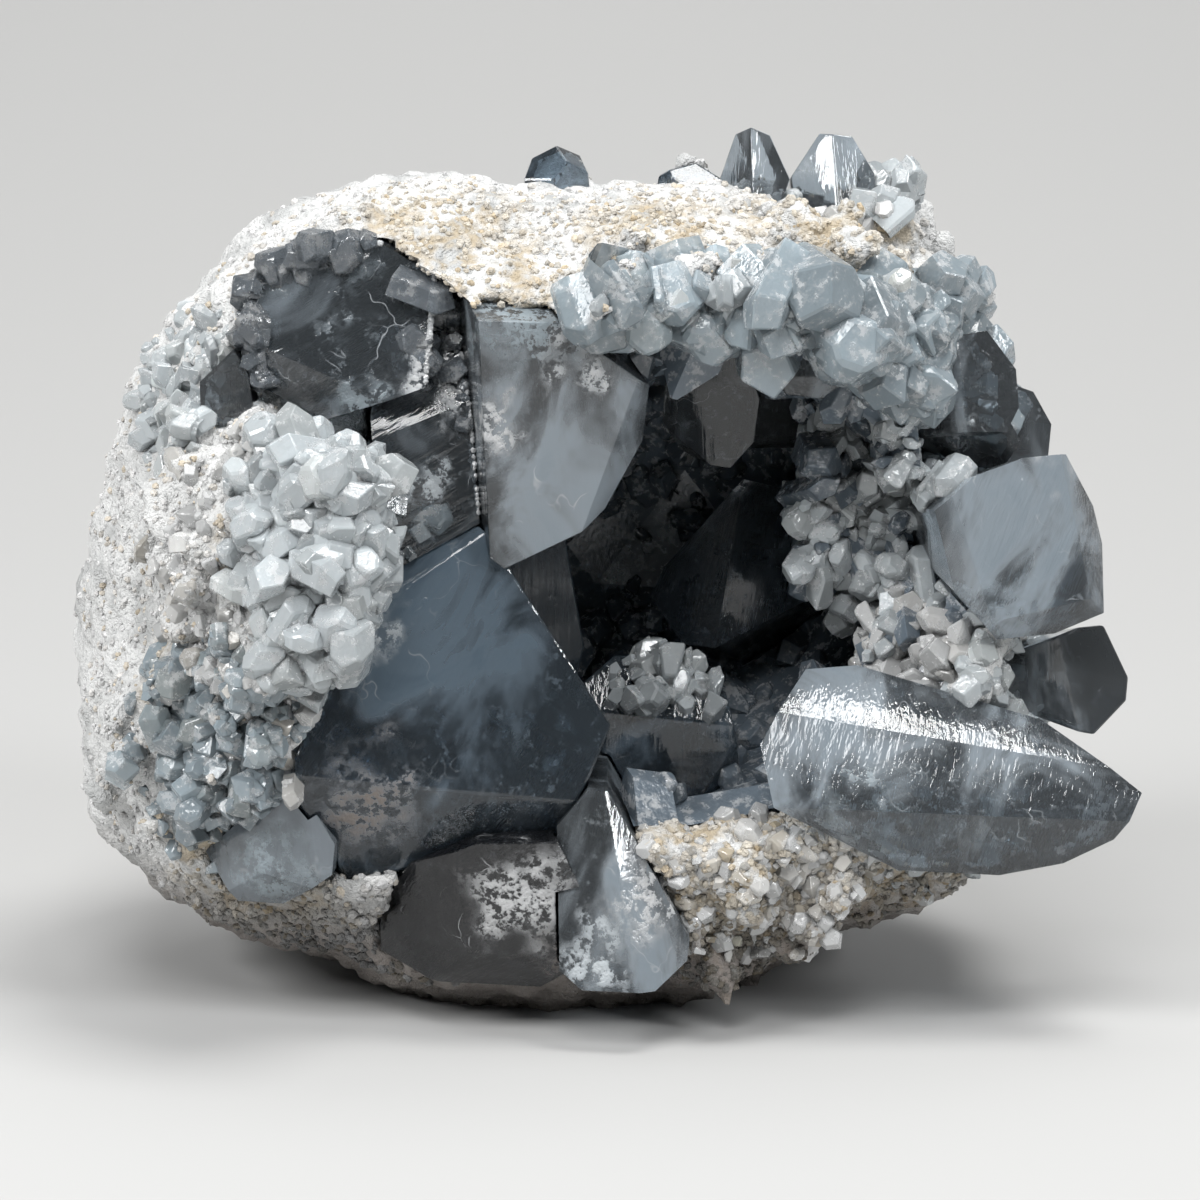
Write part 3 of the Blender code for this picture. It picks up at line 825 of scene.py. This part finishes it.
@dataclass
class Rind:
    """The stone's chalky rind: a fine copy of its solid with lumps, pits and grains.

    Attributes:
        voxel: The size of its mesh's cells, in millimetres.
        relief: The texture type, size and height in millimetres of each layer of relief.
        flat: The height below which the shell is pressed flat onto the floor, in millimetres.
        greys: How dark and how pale the grains are.
        grain_regions: Where grains lie, with how many and their smallest and largest size.
    """

    voxel: float = 0.88
    relief: tuple[tuple[str, float, float], ...] = (
        ("CLOUDS", 7.0, 2.2), ("VORONOI", 3.0, 1.3), ("CLOUDS", 1.5, 0.9),
    )
    flat: float = 0.7
    greys: tuple[float, float] = (0.58, 0.88)
    grain_regions: tuple[tuple[Region, int, float, float], ...] = (
        (Region((-18, -24, 88), (36, 24, 14)), 2100, 0.4, 1.25),
        (Region((-46, -26, 45), (18, 26, 42)), 2600, 0.4, 1.2),
        (Region((20, -30, 14), (36, 16, 12)), 1700, 0.5, 1.6),
        (Region((20, -16, 90), (34, 26, 9)), 1700, 0.4, 1.4),
        (Region((-30, -28, 11), (20, 16, 8)), 700, 0.5, 1.7),
        (Region((0, 30, 50), (75, 22, 60)), 1100, 0.5, 1.6),
    )

    def build(self, rng: np.random.Generator) -> Object:
        """Builds the rind and its grains, and dresses both.

        Args:
            rng: The source of chance.

        Returns:
            The rind, for small crystals to grow on.
        """
        shell = self.build_shell()
        own_piece(shell, Slot.RIND, RindFinish("chalky_rind").make(), "rind")
        self.build_grains(Host.of(shell), rng)
        return shell

    def build_shell(self) -> Object:
        """Copies the solid, remeshes it finely and gives it its relief.

        Returns:
            The shell.
        """
        shell = copy_of_node("rind", "rind_shell")
        remesh = shell.modifiers.new("remesh", "REMESH")
        remesh.mode = "VOXEL"
        remesh.voxel_size = self.voxel * MM
        smooth = shell.modifiers.new("smooth", "SMOOTH")
        smooth.factor = 0.5
        smooth.iterations = 3
        for index, (kind, size, height) in enumerate(self.relief):
            texture = bpy.data.textures.new(f"relief_{index}", kind)
            texture.noise_scale = size * MM
            displace = shell.modifiers.new(f"relief_{index}", "DISPLACE")
            displace.texture = texture
            displace.texture_coords = "LOCAL"
            displace.strength = height * MM
            displace.mid_level = 0.5
        apply_modifiers(shell)
        self.rest_flat(shell)
        deselect()
        shell.select_set(True)
        bpy.ops.object.shade_smooth_by_angle(angle=math.radians(50))
        return shell

    def rest_flat(self, shell: Object) -> None:
        """Keeps the spot that the stone rests on flat.

        Args:
            shell: The shell, whose lowest points are moved.
        """
        for vert in shell.data.vertices:
            if vert.co.z < self.flat * MM:
                vert.co.z = 0

    def build_grains(self, host: Host, rng: np.random.Generator) -> None:
        """Strews grains over the rind's front, sides and top.

        Args:
            host: The rind's surface.
            rng: The source of chance.
        """
        finish = RindFinish("chalky_grains", tinted=True)
        places, normals, sizes, tints = [], [], [], []
        for region, count, small, large in self.grain_regions:
            place, normal = host.pick(region, count, rng)
            place[:, 2] = np.maximum(place[:, 2], LOWEST_GRAIN * MM)
            size = rng.uniform(small, large, (count, 1)) * MM * rng.uniform(0.8, 1.2, (count, 3))
            grey = rng.uniform(*self.greys, (count, 1))
            warm = rng.random((count, 1)) ** 4
            places.append(place)
            normals.append(normal)
            sizes.append(size)
            # Stains, and painted shade towards the bottom, darken the grains.
            tints.append(grey * (1 - warm * np.array([WARM_LOSS])) * finish.stained_and_shaded(place))
        ways = np.concatenate(normals) + rng.normal(0, LEAN, (sum(map(len, places)), 3))
        grains = grow_copies("rind_grains", [model_grain()], np.concatenate(places), ways,
                             np.concatenate(sizes), np.concatenate(tints), rng)
        own_piece(grains, Slot.RIND, finish.make())


@dataclass
class DrusePatch:
    """One patch of small crystals.

    Attributes:
        region: Where it grows.
        count: How many crystals it has.
        width: The smallest and largest width, in millimetres.
        tint: The mean colour.
        warm: How much some crystals turn towards tan.
        pull: A direction that the crystals lean towards.
        length: The smallest and largest length of a crystal against its width.
        sink: How deep its foot is sunk, against its width.
    """

    region: Region
    count: int
    width: tuple[float, float]
    tint: Colour = (0.74, 0.79, 0.82)
    warm: float = 0.1
    pull: Triple = (0, 0, 0)
    length: tuple[float, float] = (0.5, 0.9)
    sink: float = 0.3


@dataclass
class Druse:
    """The small crystals that cover a surface.

    Attributes:
        name: The piece's name.
        patches: Its patches.
        finish: What the crystals are made of.
        slot: The record's slot.
    """

    name: str
    patches: Sequence[DrusePatch]
    finish: DruseFinish
    slot: Slot = Slot.DRUSE

    def build(self, host: Host, shapes: Sequence[Shape], rng: np.random.Generator) -> None:
        """Grows the crystals on a surface.

        Args:
            host: The surface.
            shapes: The shapes to choose from.
            rng: The source of chance.
        """
        places, ways, sizes, tints = [], [], [], []
        for patch in self.patches:
            place, normal = host.pick(patch.region, patch.count, rng)
            lean = rng.normal(0, LEAN, normal.shape) + np.array(patch.pull)
            small, large = patch.width
            width = (small + (large - small) * rng.random((patch.count, 1)) ** MOSTLY_SMALL) * MM
            size = width * np.concatenate([np.ones_like(width), rng.uniform(0.7, 1.1, width.shape),
                                           rng.uniform(*patch.length, width.shape)], axis=1)
            grey = 1 + rng.normal(SHADE_MEAN, SHADE_SPREAD, (patch.count, 1))
            tan = np.clip(rng.normal(0, patch.warm, (patch.count, 1)), 0, 1)
            places.append(place - normal * width * patch.sink)
            ways.append(normal + lean)
            sizes.append(size)
            tints.append(np.clip(np.array(patch.tint) * grey * (1 - tan * np.array([TAN_LOSS])), 0, 1))
        piece = grow_copies(self.name, shapes, *map(np.concatenate, (places, ways, sizes, tints)), rng)
        own_piece(piece, self.slot, self.finish.make())


def small_crystal_shapes() -> list[Shape]:
    """Models the small crystals that every patch is grown from.

    Returns:
        Their shapes.
    """
    return [
        model_small_crystal(6, 0.8, ((10, 48, 1.2), (190, 42, 1.1), (95, 52, 1.25), (280, 50, 1.3))),
        model_small_crystal(6, 0.65, ((0, 55, 1.3), (180, 55, 1.2), (90, 35, 1.3))),
        model_small_crystal(8, 0.9, ((30, 40, 1.0), (150, 48, 1.1), (270, 44, 1.05))),
        model_small_crystal(5, 0.85, ((70, 58, 1.5), (200, 50, 1.3), (320, 55, 1.4))),
        model_small_crystal(6, 0.5, ((45, 50, 1.1), (225, 38, 0.95), (135, 60, 1.3))),
    ]


@dataclass
class BigCrystal:
    """One of the big crystals, as a finished copy of its solid.

    Attributes:
        node: The solid's name.
        finish: What it is made of.
        slot: The record's slot.
        edge: The width of its worn edges, in millimetres.
        veils: The middle, facing direction and radius of each healed crack inside it, in millimetres.
    """

    node: str
    finish: CrystalFinish
    slot: Slot
    edge: float = 0.3
    veils: tuple[tuple[Triple, Triple, float], ...] = ()

    def build(self, rng: np.random.Generator) -> Object:
        """Builds the crystal, its worn edges and its cracks.

        Args:
            rng: The source of chance.

        Returns:
            The crystal.
        """
        name = self.node.replace("crystals", "crystal") + "_clear"
        crystal = copy_of_node(self.node, name)
        bpy.ops.object.mode_set(mode="EDIT")
        bpy.ops.mesh.select_all(action="SELECT")
        bpy.ops.mesh.dissolve_limited(angle_limit=math.radians(1))
        bpy.ops.object.mode_set(mode="OBJECT")
        planes = [(face.center.copy(), face.normal.copy()) for face in crystal.data.polygons]
        wear_edges(crystal, self.edge * MM, 2, 14)
        bpy.ops.object.shade_smooth_by_angle(angle=math.radians(20))
        own_piece(crystal, self.slot, self.finish.make(), self.node)
        for index, veil in enumerate(self.veils):
            self.build_veil(f"{self.node}_veil_{index}", planes, *veil, rng)
        return crystal

    def build_veil(self, name: str, planes: list[tuple[Vector, Vector]], middle: Triple, facing: Triple,
                   radius: float, rng: np.random.Generator) -> None:
        """Builds one healed crack: a wavy sheet, trimmed to lie inside the crystal.

        Args:
            name: The piece's name.
            planes: The crystal's faces, as points and normals.
            middle: The crack's middle, in millimetres.
            facing: The direction that it faces.
            radius: Its radius, in millimetres.
            rng: The source of chance.
        """
        deselect()
        cells = VEIL_CELLS
        bpy.ops.mesh.primitive_grid_add(x_subdivisions=cells, y_subdivisions=cells, size=2 * radius * MM)
        veil = bpy.context.active_object
        veil.name = name
        turn = Vector(facing).to_track_quat("Z", "Y")
        phase = rng.uniform(0, 6, 4)
        for vert in veil.data.vertices:
            x, y = vert.co.x / MM, vert.co.y / MM
            z = BROAD_WAVE * math.sin(x / 3.1 + phase[0]) + CROSS_WAVE * math.sin(y / 2.3 + phase[1] + x / 5)
            z += FINE_WAVE * math.sin(x / 1.1 + phase[2]) * math.sin(y / 1.3 + phase[3])
            vert.co = turn @ Vector((vert.co.x, vert.co.y, z * MM)) + Vector(middle) * MM
        bpy.ops.object.mode_set(mode="EDIT")
        for point, normal in planes:
            bpy.ops.mesh.select_all(action="SELECT")
            bpy.ops.mesh.bisect(plane_co=point - normal * VEIL_INSET * MM, plane_no=normal, clear_outer=True)
        bpy.ops.object.mode_set(mode="OBJECT")
        if not veil.data.polygons:
            bpy.data.objects.remove(veil, do_unlink=True)
            return
        own_piece(veil, self.slot, VeilFinish().make())


@dataclass
class HollowCrust:
    """The lining of the hollow, as a finished copy of its solid, tinted dark with painted shade.

    Attributes:
        edge: The width of the worn edges of its small crystals, in millimetres.
    """

    edge: float = 0.25

    def build(self) -> Object:
        """Builds the lining.

        Returns:
            The lining, for more small crystals to grow on.
        """
        crust = copy_of_node("hollow_crust", "hollow_lining")
        wear_edges(crust, self.edge * MM, 1, 30)
        # Painted shade: every corner of the lining is tinted dark, as the hollow is out of the light.
        tint = crust.data.color_attributes.new("tint", "FLOAT_COLOR", "POINT")
        for item in tint.data:
            item.color = (*HOLLOW_SHADE, 1)
        own_piece(crust, Slot.DRUSE, DruseFinish("hollow_lining", 0.35, 0.2).make(), "hollow_crust")
        return crust


@dataclass
class Studio:
    """A plain pale floor and backdrop, soft lights and the camera.

    Attributes:
        distance: The camera's distance from its aim, in metres.
        elevation: The camera's height above the level, in degrees.
        aim: The point that the camera looks at.
        lens: The focal length, in millimetres, on a 36 mm sensor.
        backdrop: The colour of the floor and the backdrop.
        floor: The size of the floor and how far it is moved, in metres.
        wall: The height of the backdrop and the radius of the curve at its foot, in metres.
        air: How bright the air is behind the camera and behind the stone.
    """

    distance: float = 0.42
    elevation: float = 8.0
    aim: Triple = (0, 0, 0.0446)
    lens: float = 107.0
    backdrop: Colour = (0.56, 0.56, 0.555)
    floor: tuple[float, float] = (3, -0.35)
    wall: tuple[float, float] = (2.4, 1.1)
    air: tuple[float, float] = (0.14, 0.38)

    def build(self) -> None:
        """Builds the whole studio."""
        self.build_camera()
        self.build_sweep()
        self.build_lights()
        self.build_world()
        light_paths = bpy.context.scene.cycles
        light_paths.use_light_tree = False
        light_paths.light_sampling_threshold = 0.05
        light_paths.max_bounces = 2
        light_paths.diffuse_bounces = 1
        light_paths.glossy_bounces = 2
        light_paths.transmission_bounces = 2
        view = bpy.context.scene.view_settings
        view.view_transform = "Standard"
        view.look = "None"
        view.exposure = 0.0

    def build_camera(self) -> None:
        """Places the camera at the photograph's viewing angle."""
        lift = math.radians(self.elevation)
        deselect()
        place = Vector(self.aim) + self.distance * Vector((0, -math.cos(lift), math.sin(lift)))
        bpy.ops.object.camera_add(location=place, rotation=(math.pi / 2 - lift, 0, 0))
        camera = bpy.context.active_object
        camera.data.lens = self.lens
        camera.data.sensor_width = 36
        camera.data.clip_start = 0.01
        bpy.context.scene.camera = camera

    def build_sweep(self) -> None:
        """Models the floor, which curves up into a backdrop."""
        size, forward = self.floor
        height, curve = self.wall
        deselect()
        bpy.ops.mesh.primitive_plane_add(size=size, location=(0, forward, 0))
        sweep = bpy.context.active_object
        sweep.name = "studio_sweep"
        for edge in sweep.data.edges:
            edge.select = all(sweep.data.vertices[index].co.y > 0.45 * size for index in edge.vertices)
        for face in sweep.data.polygons:
            face.select = False
        bpy.ops.object.mode_set(mode="EDIT")
        bpy.ops.mesh.select_mode(type="EDGE")
        bpy.ops.mesh.extrude_region_move(TRANSFORM_OT_translate={"value": (0, 0, height)})
        bpy.ops.object.mode_set(mode="OBJECT")
        bevel = sweep.modifiers.new("curve", "BEVEL")
        bevel.width = curve
        bevel.segments = 32
        apply_modifiers(sweep)
        bpy.ops.object.transform_apply(location=True, rotation=True, scale=True)
        bpy.ops.object.shade_smooth()
        paper = Graph("studio_paper").finish(
            {"Base Color": self.backdrop, "Roughness": 0.9, "Specular IOR Level": 0.1})
        sweep.data.materials.append(paper)

    def build_lights(self) -> None:
        """Hangs the soft boxes: each with its place, size, power and colour."""
        boxes = (
            ("top_box", (0.22, -0.11, 0.87), 0.3, 3.8, (1, 0.995, 0.98)),
            ("left_box", (-0.62, -0.40, 0.52), 0.3, 4.6, (1, 1, 1)),
            ("right_box", (0.60, -0.46, 0.44), 0.2, 2.4, (0.97, 0.985, 1)),
            ("front_box", (-0.06, -0.60, 0.70), 0.34, 3.6, (1, 1, 1)),
            ("backdrop_box", (0, 0.35, 1.1), 0.8, 4.0, (1, 1, 1)),
        )
        for name, place, size, power, colour in boxes:
            deselect()
            target = (0, 1.0, 0.1) if name == "backdrop_box" else self.aim
            turn = (Vector(target) - Vector(place)).to_track_quat("-Z", "Y").to_euler()
            bpy.ops.object.light_add(type="AREA", location=place, rotation=turn)
            lamp = bpy.context.active_object
            lamp.name = name
            lamp.data.size = size
            lamp.data.energy = power
            lamp.data.color = colour

    def build_world(self) -> None:
        """Surrounds the studio with a soft light that is dimmer behind the camera."""
        world = bpy.data.worlds.new("studio_air")
        world.cycles.sampling_method = "NONE"
        bpy.context.scene.world = world
        world.use_nodes = True
        tree = world.node_tree
        place = tree.nodes.new("ShaderNodeTexCoord")
        split = tree.nodes.new("ShaderNodeSeparateXYZ")
        dim = tree.nodes.new("ShaderNodeMapRange")
        for key, value in zip(("From Min", "From Max", "To Min", "To Max"), (-0.7, 0.3, *self.air)):
            dim.inputs[key].default_value = value
        tree.links.new(place.outputs["Generated"], split.inputs[0])
        tree.links.new(split.outputs["Y"], dim.inputs["Value"])
        back = tree.nodes["Background"]
        back.inputs["Color"].default_value = (0.97, 0.98, 1, 1)
        tree.links.new(dim.outputs["Result"], back.inputs["Strength"])


ICE = (0.70, 0.76, 0.79)
MILK = (0.84, 0.85, 0.85)
FOG = (0.42, 0.50, 0.55)
# Painted shade: the dark tint of the deep hollow.
HOLLOW_SHADE = (0.20, 0.25, 0.30)
ASHEN = (0.30, 0.34, 0.38)
# White for frosted spots, and for painted highlights on some crystals.
FROST_AND_HIGHLIGHT = (0.88, 0.89, 0.90)
RUST = (0.34, 0.29, 0.26)
PEARL = (0.74, 0.80, 0.84)


def big_crystals() -> list[BigCrystal]:
    """Names every big crystal with its finish and its cracks.

    Returns:
        The crystals, to be built in order.
    """
    finish = CrystalFinish
    # Each crystal's cloudiest place is also a painted highlight.
    return [
        BigCrystal("great_crystal", finish(
            "great_slate", Tone.DEEP, 0.42, 42, cracks=0.35, lines=(0, 32, 0),
            haze_and_highlight=((-16, -34, 52), 26),
            spots=(((-23.6, -34, 50), 3.6, PEARL), ((-25, -34, 44.5), 3.2, PEARL), ((-25, -33, 28), 7, RUST),
                   # The small pale spot at the top is a painted highlight.
                   ((-14, -33, 58.5), 2.0, FROST_AND_HIGHLIGHT))),
            Slot.DARK, 0.3, (((-16, -24, 40), (0.4, -1, 0.5), 15), ((-22, -22, 30), (-0.5, -1, 0), 9))),
        BigCrystal("hanging_crystal", finish(
            "hanging_blue", Tone.PALE, 0.5, 52, cracks=0.6, lines=(0, -8, 0), haze_and_highlight=((0, -30, 58), 20),
            spots=(((-8, -30, 80), 8, FOG), ((-2, -30, 75), 4, FROST_AND_HIGHLIGHT), ((-11, -30, 68), 3, FROST_AND_HIGHLIGHT))),
            Slot.BLUE, 0.35, (((-4, -24, 72), (0.3, -1, 0.4), 10), ((-1, -20, 60), (-0.6, -1, 0.2), 9))),
        BigCrystal("veined_crystals", finish(
            "veined_smoke", Tone.SMOKE, 0.5, 34, cracks=0.7, lines=(0, 60, 0), line_depth=0.1, wave=2.6,
            spots=(((-18, -30, 73), 6, FROST_AND_HIGHLIGHT), ((-26, -30, 83), 6, FOG), ((-36, -30, 84), 6, FOG),
                   ((-20, -30, 62), 4, PEARL), ((-27, -30, 70), 4, FOG))),
            Slot.DARK, 0.3, (((-30, -22, 78), (-0.3, -1, 0.5), 9),)),
        BigCrystal("back_crystal", finish(
            "back_dark", Tone.DEEP, 0.3, 54, cracks=0.2, lines=(0, 12, 0), haze_and_highlight=((9, -8, 46), 9),
            # Its pale spot at the top edge is a painted highlight.
            spots=(((20, -1, 58), 4, FROST_AND_HIGHLIGHT),)), Slot.DARK),
        BigCrystal("shadow_crystal", finish("shadow_dark", Tone.DEEP, 0.2, 90, cracks=0.1), Slot.DARK),
        BigCrystal("floor_crystal", finish(
            "floor_slate", Tone.DEEP, 0.4, 60, spots=(((8, -26, 36), 4, PEARL),)), Slot.DARK, 0.3),
        BigCrystal("cleaved_crystal", finish(
            "cleaved_smoke", Tone.INK, 0.3, 80, cracks=0.8, lines=(0, 40, 0), line_depth=0.16, wave=4,
            spots=(((-8.5, -35, 17), 7, FROST_AND_HIGHLIGHT), ((-3, -34, 9), 5, RUST), ((-22, -34, 10), 4, PEARL))),
            Slot.DARK, 0.3),
        BigCrystal("roof_crystals", finish(
            # Its pale spot is a painted highlight.
            "roof_blue", Tone.PALE, 0.35, 80, spots=(((10, -20, 68), 3, FROST_AND_HIGHLIGHT),)), Slot.BLUE),
        BigCrystal("pale_block_crystal", finish(
            "pale_block", Tone.PALE, 0.7, 30, spots=(((18, -24, 78), 6, PEARL),)),
            Slot.BLUE, 0.3),
        BigCrystal("shoulder_crystals", finish(
            "shoulder_blue", Tone.PALE, 0.5, 40, spots=(((40, -18, 66), 3, PEARL),)), Slot.BLUE),
        BigCrystal("right_crystal", finish(
            "right_blue", Tone.PALE, 0.6, 30, lines=(0, 24, 0), line_depth=0.14,
            haze_and_highlight=((46, -22, 54), 14), spots=(((49, -22, 62), 4, FROST_AND_HIGHLIGHT), ((58, -18, 56), 4, PEARL))),
            Slot.BLUE, 0.35, (((47, -20, 54), (0.3, -1, 0.2), 9),)),
        BigCrystal("right_lower_crystal", finish("right_lower_blue", Tone.PALE, 0.6, 34), Slot.BLUE),
        BigCrystal("blade_crystal", finish(
            "blade_blue", Tone.PALE, 0.55, 46, lines=(0, 14, 0), line_depth=0.1,
            haze_and_highlight=((24, -30, 34), 14),
            spots=(((55, -24, 25), 7, FROST_AND_HIGHLIGHT), ((46, -28, 26), 5, PEARL), ((30, -30, 26), 5, FOG))),
            Slot.BLUE, 0.4, (((36, -28, 30), (0.1, -1, 0.6), 14),)),
        BigCrystal("front_shard", finish(
            "shard_blue", Tone.PALE, 0.6, 30, lines=(0, 10, 0),
            spots=(((7, -36, 18), 6, FROST_AND_HIGHLIGHT), ((0, -36, 10), 5, PEARL))),
            Slot.BLUE, 0.3, (((3, -31, 16), (0.5, -1, 0.1), 8),)),
        BigCrystal("lower_left_crystal", finish(
            "lower_left_blue", Tone.SMOKE, 0.8, 30, spots=(((-36, -30, 20), 6, FOG),)), Slot.BLUE),
        BigCrystal("left_inner_crystal", finish("left_inner_blue", Tone.PALE, 0.5, 50), Slot.BLUE),
        BigCrystal("top_left_crystal", finish("top_left_blue", Tone.PALE, 0.5, 24), Slot.BLUE),
        BigCrystal("top_right_crystal", finish("top_right_blue", Tone.PALE, 0.5, 24), Slot.BLUE),
    ]


def druses() -> dict[str, Druse]:
    """Names the groups of small crystals: those on the outside of the stone, on the lining of the hollow, on
    the crystal at the hollow's floor and, broken and smoky, round the upper left crystals.

    Returns:
        Each group, still to be built, by the solid that it grows on.
    """
    patch = DrusePatch
    return {
        "rind": Druse("rind_druse", (
            patch(Region((-30, -40, 56), (9, 14, 17), (0.4, -1, 0.2)), 380, (2.4, 6.4), ICE, 0.04,
                  (0.2, -0.3, 0.1)),
            patch(Region((-37, -34, 50), (14, 14, 24), (0, -1, 0.1)), 320, (1.2, 3.4), MILK, 0.12, sink=0.4),
            patch(Region((-40, -32, 32), (12, 16, 15), (0, -1, 0.1)), 290, (1.8, 4.8), FOG, 0.1,
                  (0, -0.2, -0.2)),
            patch(Region((-47, -22, 72), (7, 12, 10)), 150, (1.8, 4.4), ICE, 0.06, sink=0.4),
            patch(Region((21, -30, 76), (25, 16, 7), (0, -1, -0.3)), 330, (3.2, 9.5), FOG, 0.04,
                  (0, -0.4, -0.3), sink=0.42),
            patch(Region((21, -30, 78), (27, 16, 7), (0, -1, 0)), 290, (1.8, 4.4), ICE, 0.1,
                  (0, -0.3, -0.2), sink=0.4),
            patch(Region((43, -18, 73), (9, 14, 12), (0.6, -1, 0.3)), 190, (2.6, 7.5), FOG, 0.04, sink=0.42),
            patch(Region((30, -4, 93), (10, 9, 5), (0, 0, 1)), 40, (2.4, 5.5), ICE, 0.04),
            patch(Region((24, -9, 91), (12, 6, 4)), 60, (1.4, 3.4), MILK, 0.06),
            patch(Region((16, -33, 18), (24, 14, 11), (0, -1, 0)), 310, (1.2, 3.4), MILK, 0.25, sink=0.4),
            patch(Region((40, -22, 34), (18, 18, 18), (0, -1, 0)), 210, (1.8, 4.6), ICE, 0.08, sink=0.35),
        ), DruseFinish("rind_druse", 0.4, 0.08)),
        "hollow_crust": Druse("hollow_druse", (
            patch(Region((31, -14, 57), (11, 20, 18)), 520, (2.0, 4.8), ICE, 0.03, (-0.2, -0.5, 0),
                  (0.5, 1.1)),
            patch(Region((36, -20, 39), (12, 16, 10)), 240, (2.0, 4.6), MILK, 0.1, (-0.1, -0.5, 0.2),
                  (0.5, 1.2)),
            # Painted shade: the crystals deep in the hollow are tinted dark.
            patch(Region((5, 0, 52), (42, 34, 36)), 700, (2.2, 5.5), HOLLOW_SHADE, 0.03, (0, -0.4, 0), (0.5, 1.1)),
        ), DruseFinish("hollow_druse", 0.4, 0.08)),
        "floor_crystal": Druse("floor_druse", (
            patch(Region((12, -17, 39), (8, 8, 4)), 46, (2.0, 5.0), ICE, 0.05, (0, -0.3, 0.7), (0.6, 1.2)),
        ), DruseFinish("floor_druse", 0.6, 0.06)),
        "veined_crystals": Druse("smoky_chips", (
            patch(Region((-31, -27, 88), (14, 9, 2.5)), 26, (2.4, 6.0), ASHEN, 0.05, (0, -0.4, 0), sink=0.45),
            patch(Region((-41, -27, 76), (3, 9, 9)), 20, (2.2, 5.5), ASHEN, 0.05, (0, -0.4, 0), sink=0.45),
            patch(Region((-16, -28, 76), (4, 9, 10)), 34, (1.8, 5.5), ASHEN, 0.05, (0.2, -0.4, 0), sink=0.5),
            patch(Region((-22, -28, 54), (4, 9, 4)), 22, (1.8, 4.6), FOG, 0.05, (0, -0.4, 0), sink=0.35),
        ), DruseFinish("smoky_chips", 0.7, 0.08), Slot.DARK),
    }


@dataclass
class CrownTips:
    """The dark crystal points that stand on top of the stone.

    Attributes:
        points: The foot, direction, width and length of each, in millimetres.
    """

    points: tuple[tuple[Triple, Triple, float, float], ...] = (
        ((-4.5, 4, 90.0), (-0.1, -0.2, 1), 9.0, 5.6), ((10.5, 2, 90.0), (0.2, -0.2, 1), 9.0, 5.6),
    )

    def build(self, shapes: Sequence[Shape], rng: np.random.Generator) -> None:
        """Stands the points on the stone.

        Args:
            shapes: The shapes to choose from.
            rng: The source of chance.
        """
        feet, ways, widths, lengths = zip(*self.points)
        sizes = np.array([(width, width * 0.8, length) for width, length in zip(widths, lengths)]) * MM
        tints = np.tile(FOG, (len(feet), 1))
        places, ways = np.array(feet) * MM, np.array(ways, float)
        tips = grow_copies("crown_tips", shapes, places, ways, sizes, tints, rng)
        own_piece(tips, Slot.BLUE, CrystalFinish("crown_tips", Tone.DEEP, 0.4, 60).make())


def sugar_on(host: Host, rng: np.random.Generator) -> None:
    """Strews white sugar over the borders of the upper left crystals.

    Args:
        host: Their surface.
        rng: The source of chance.
    """
    regions = (
        (Region((-14, -29, 74), (4, 8, 7)), 700), (Region((-12, -29, 80), (6, 8, 3)), 500),
        (Region((-30, -29, 88), (12, 8, 2)), 400), (Region((-24, -28, 54), (4, 8, 5)), 400),
        (Region((-41, -28, 74), (3, 8, 7)), 300),
    )
    places, normals = zip(*[host.pick(region, count, rng) for region, count in regions])
    total = sum(count for _, count in regions)
    sizes = rng.uniform(0.3, 1.0, (total, 1)) * MM * rng.uniform(0.7, 1.2, (total, 3))
    tints = rng.uniform(0.45, 0.8, (total, 1)) * np.array([[0.95, 0.98, 1.0]])
    ways = np.concatenate(normals) + rng.normal(0, LEAN, (total, 3))
    sugar = grow_copies("crystal_sugar", [model_grain()], np.concatenate(places), ways, sizes, tints, rng)
    own_piece(sugar, Slot.DRUSE, DruseFinish("crystal_sugar", 0.3, 0.15).make())


def main() -> None:
    """Builds the geode's pieces in order, then the studio."""
    logging.basicConfig(level=logging.INFO, format="%(message)s")
    rng = np.random.default_rng(SEED)
    shell = Rind().build(rng)
    crust = HollowCrust().build()
    shapes = small_crystal_shapes()
    groups = druses()
    groups["rind"].build(Host.of(shell), shapes, rng)
    groups["hollow_crust"].build(Host.of(crust), shapes, rng)
    for crystal in big_crystals():
        built = crystal.build(rng)
        if crystal.node == "veined_crystals":
            sugar_on(Host.of(built), rng)
        if crystal.node in groups:
            groups[crystal.node].build(Host.of(built), shapes, rng)
    CrownTips().build(shapes, rng)
    Studio().build()


if __name__ == "__main__":
    main()
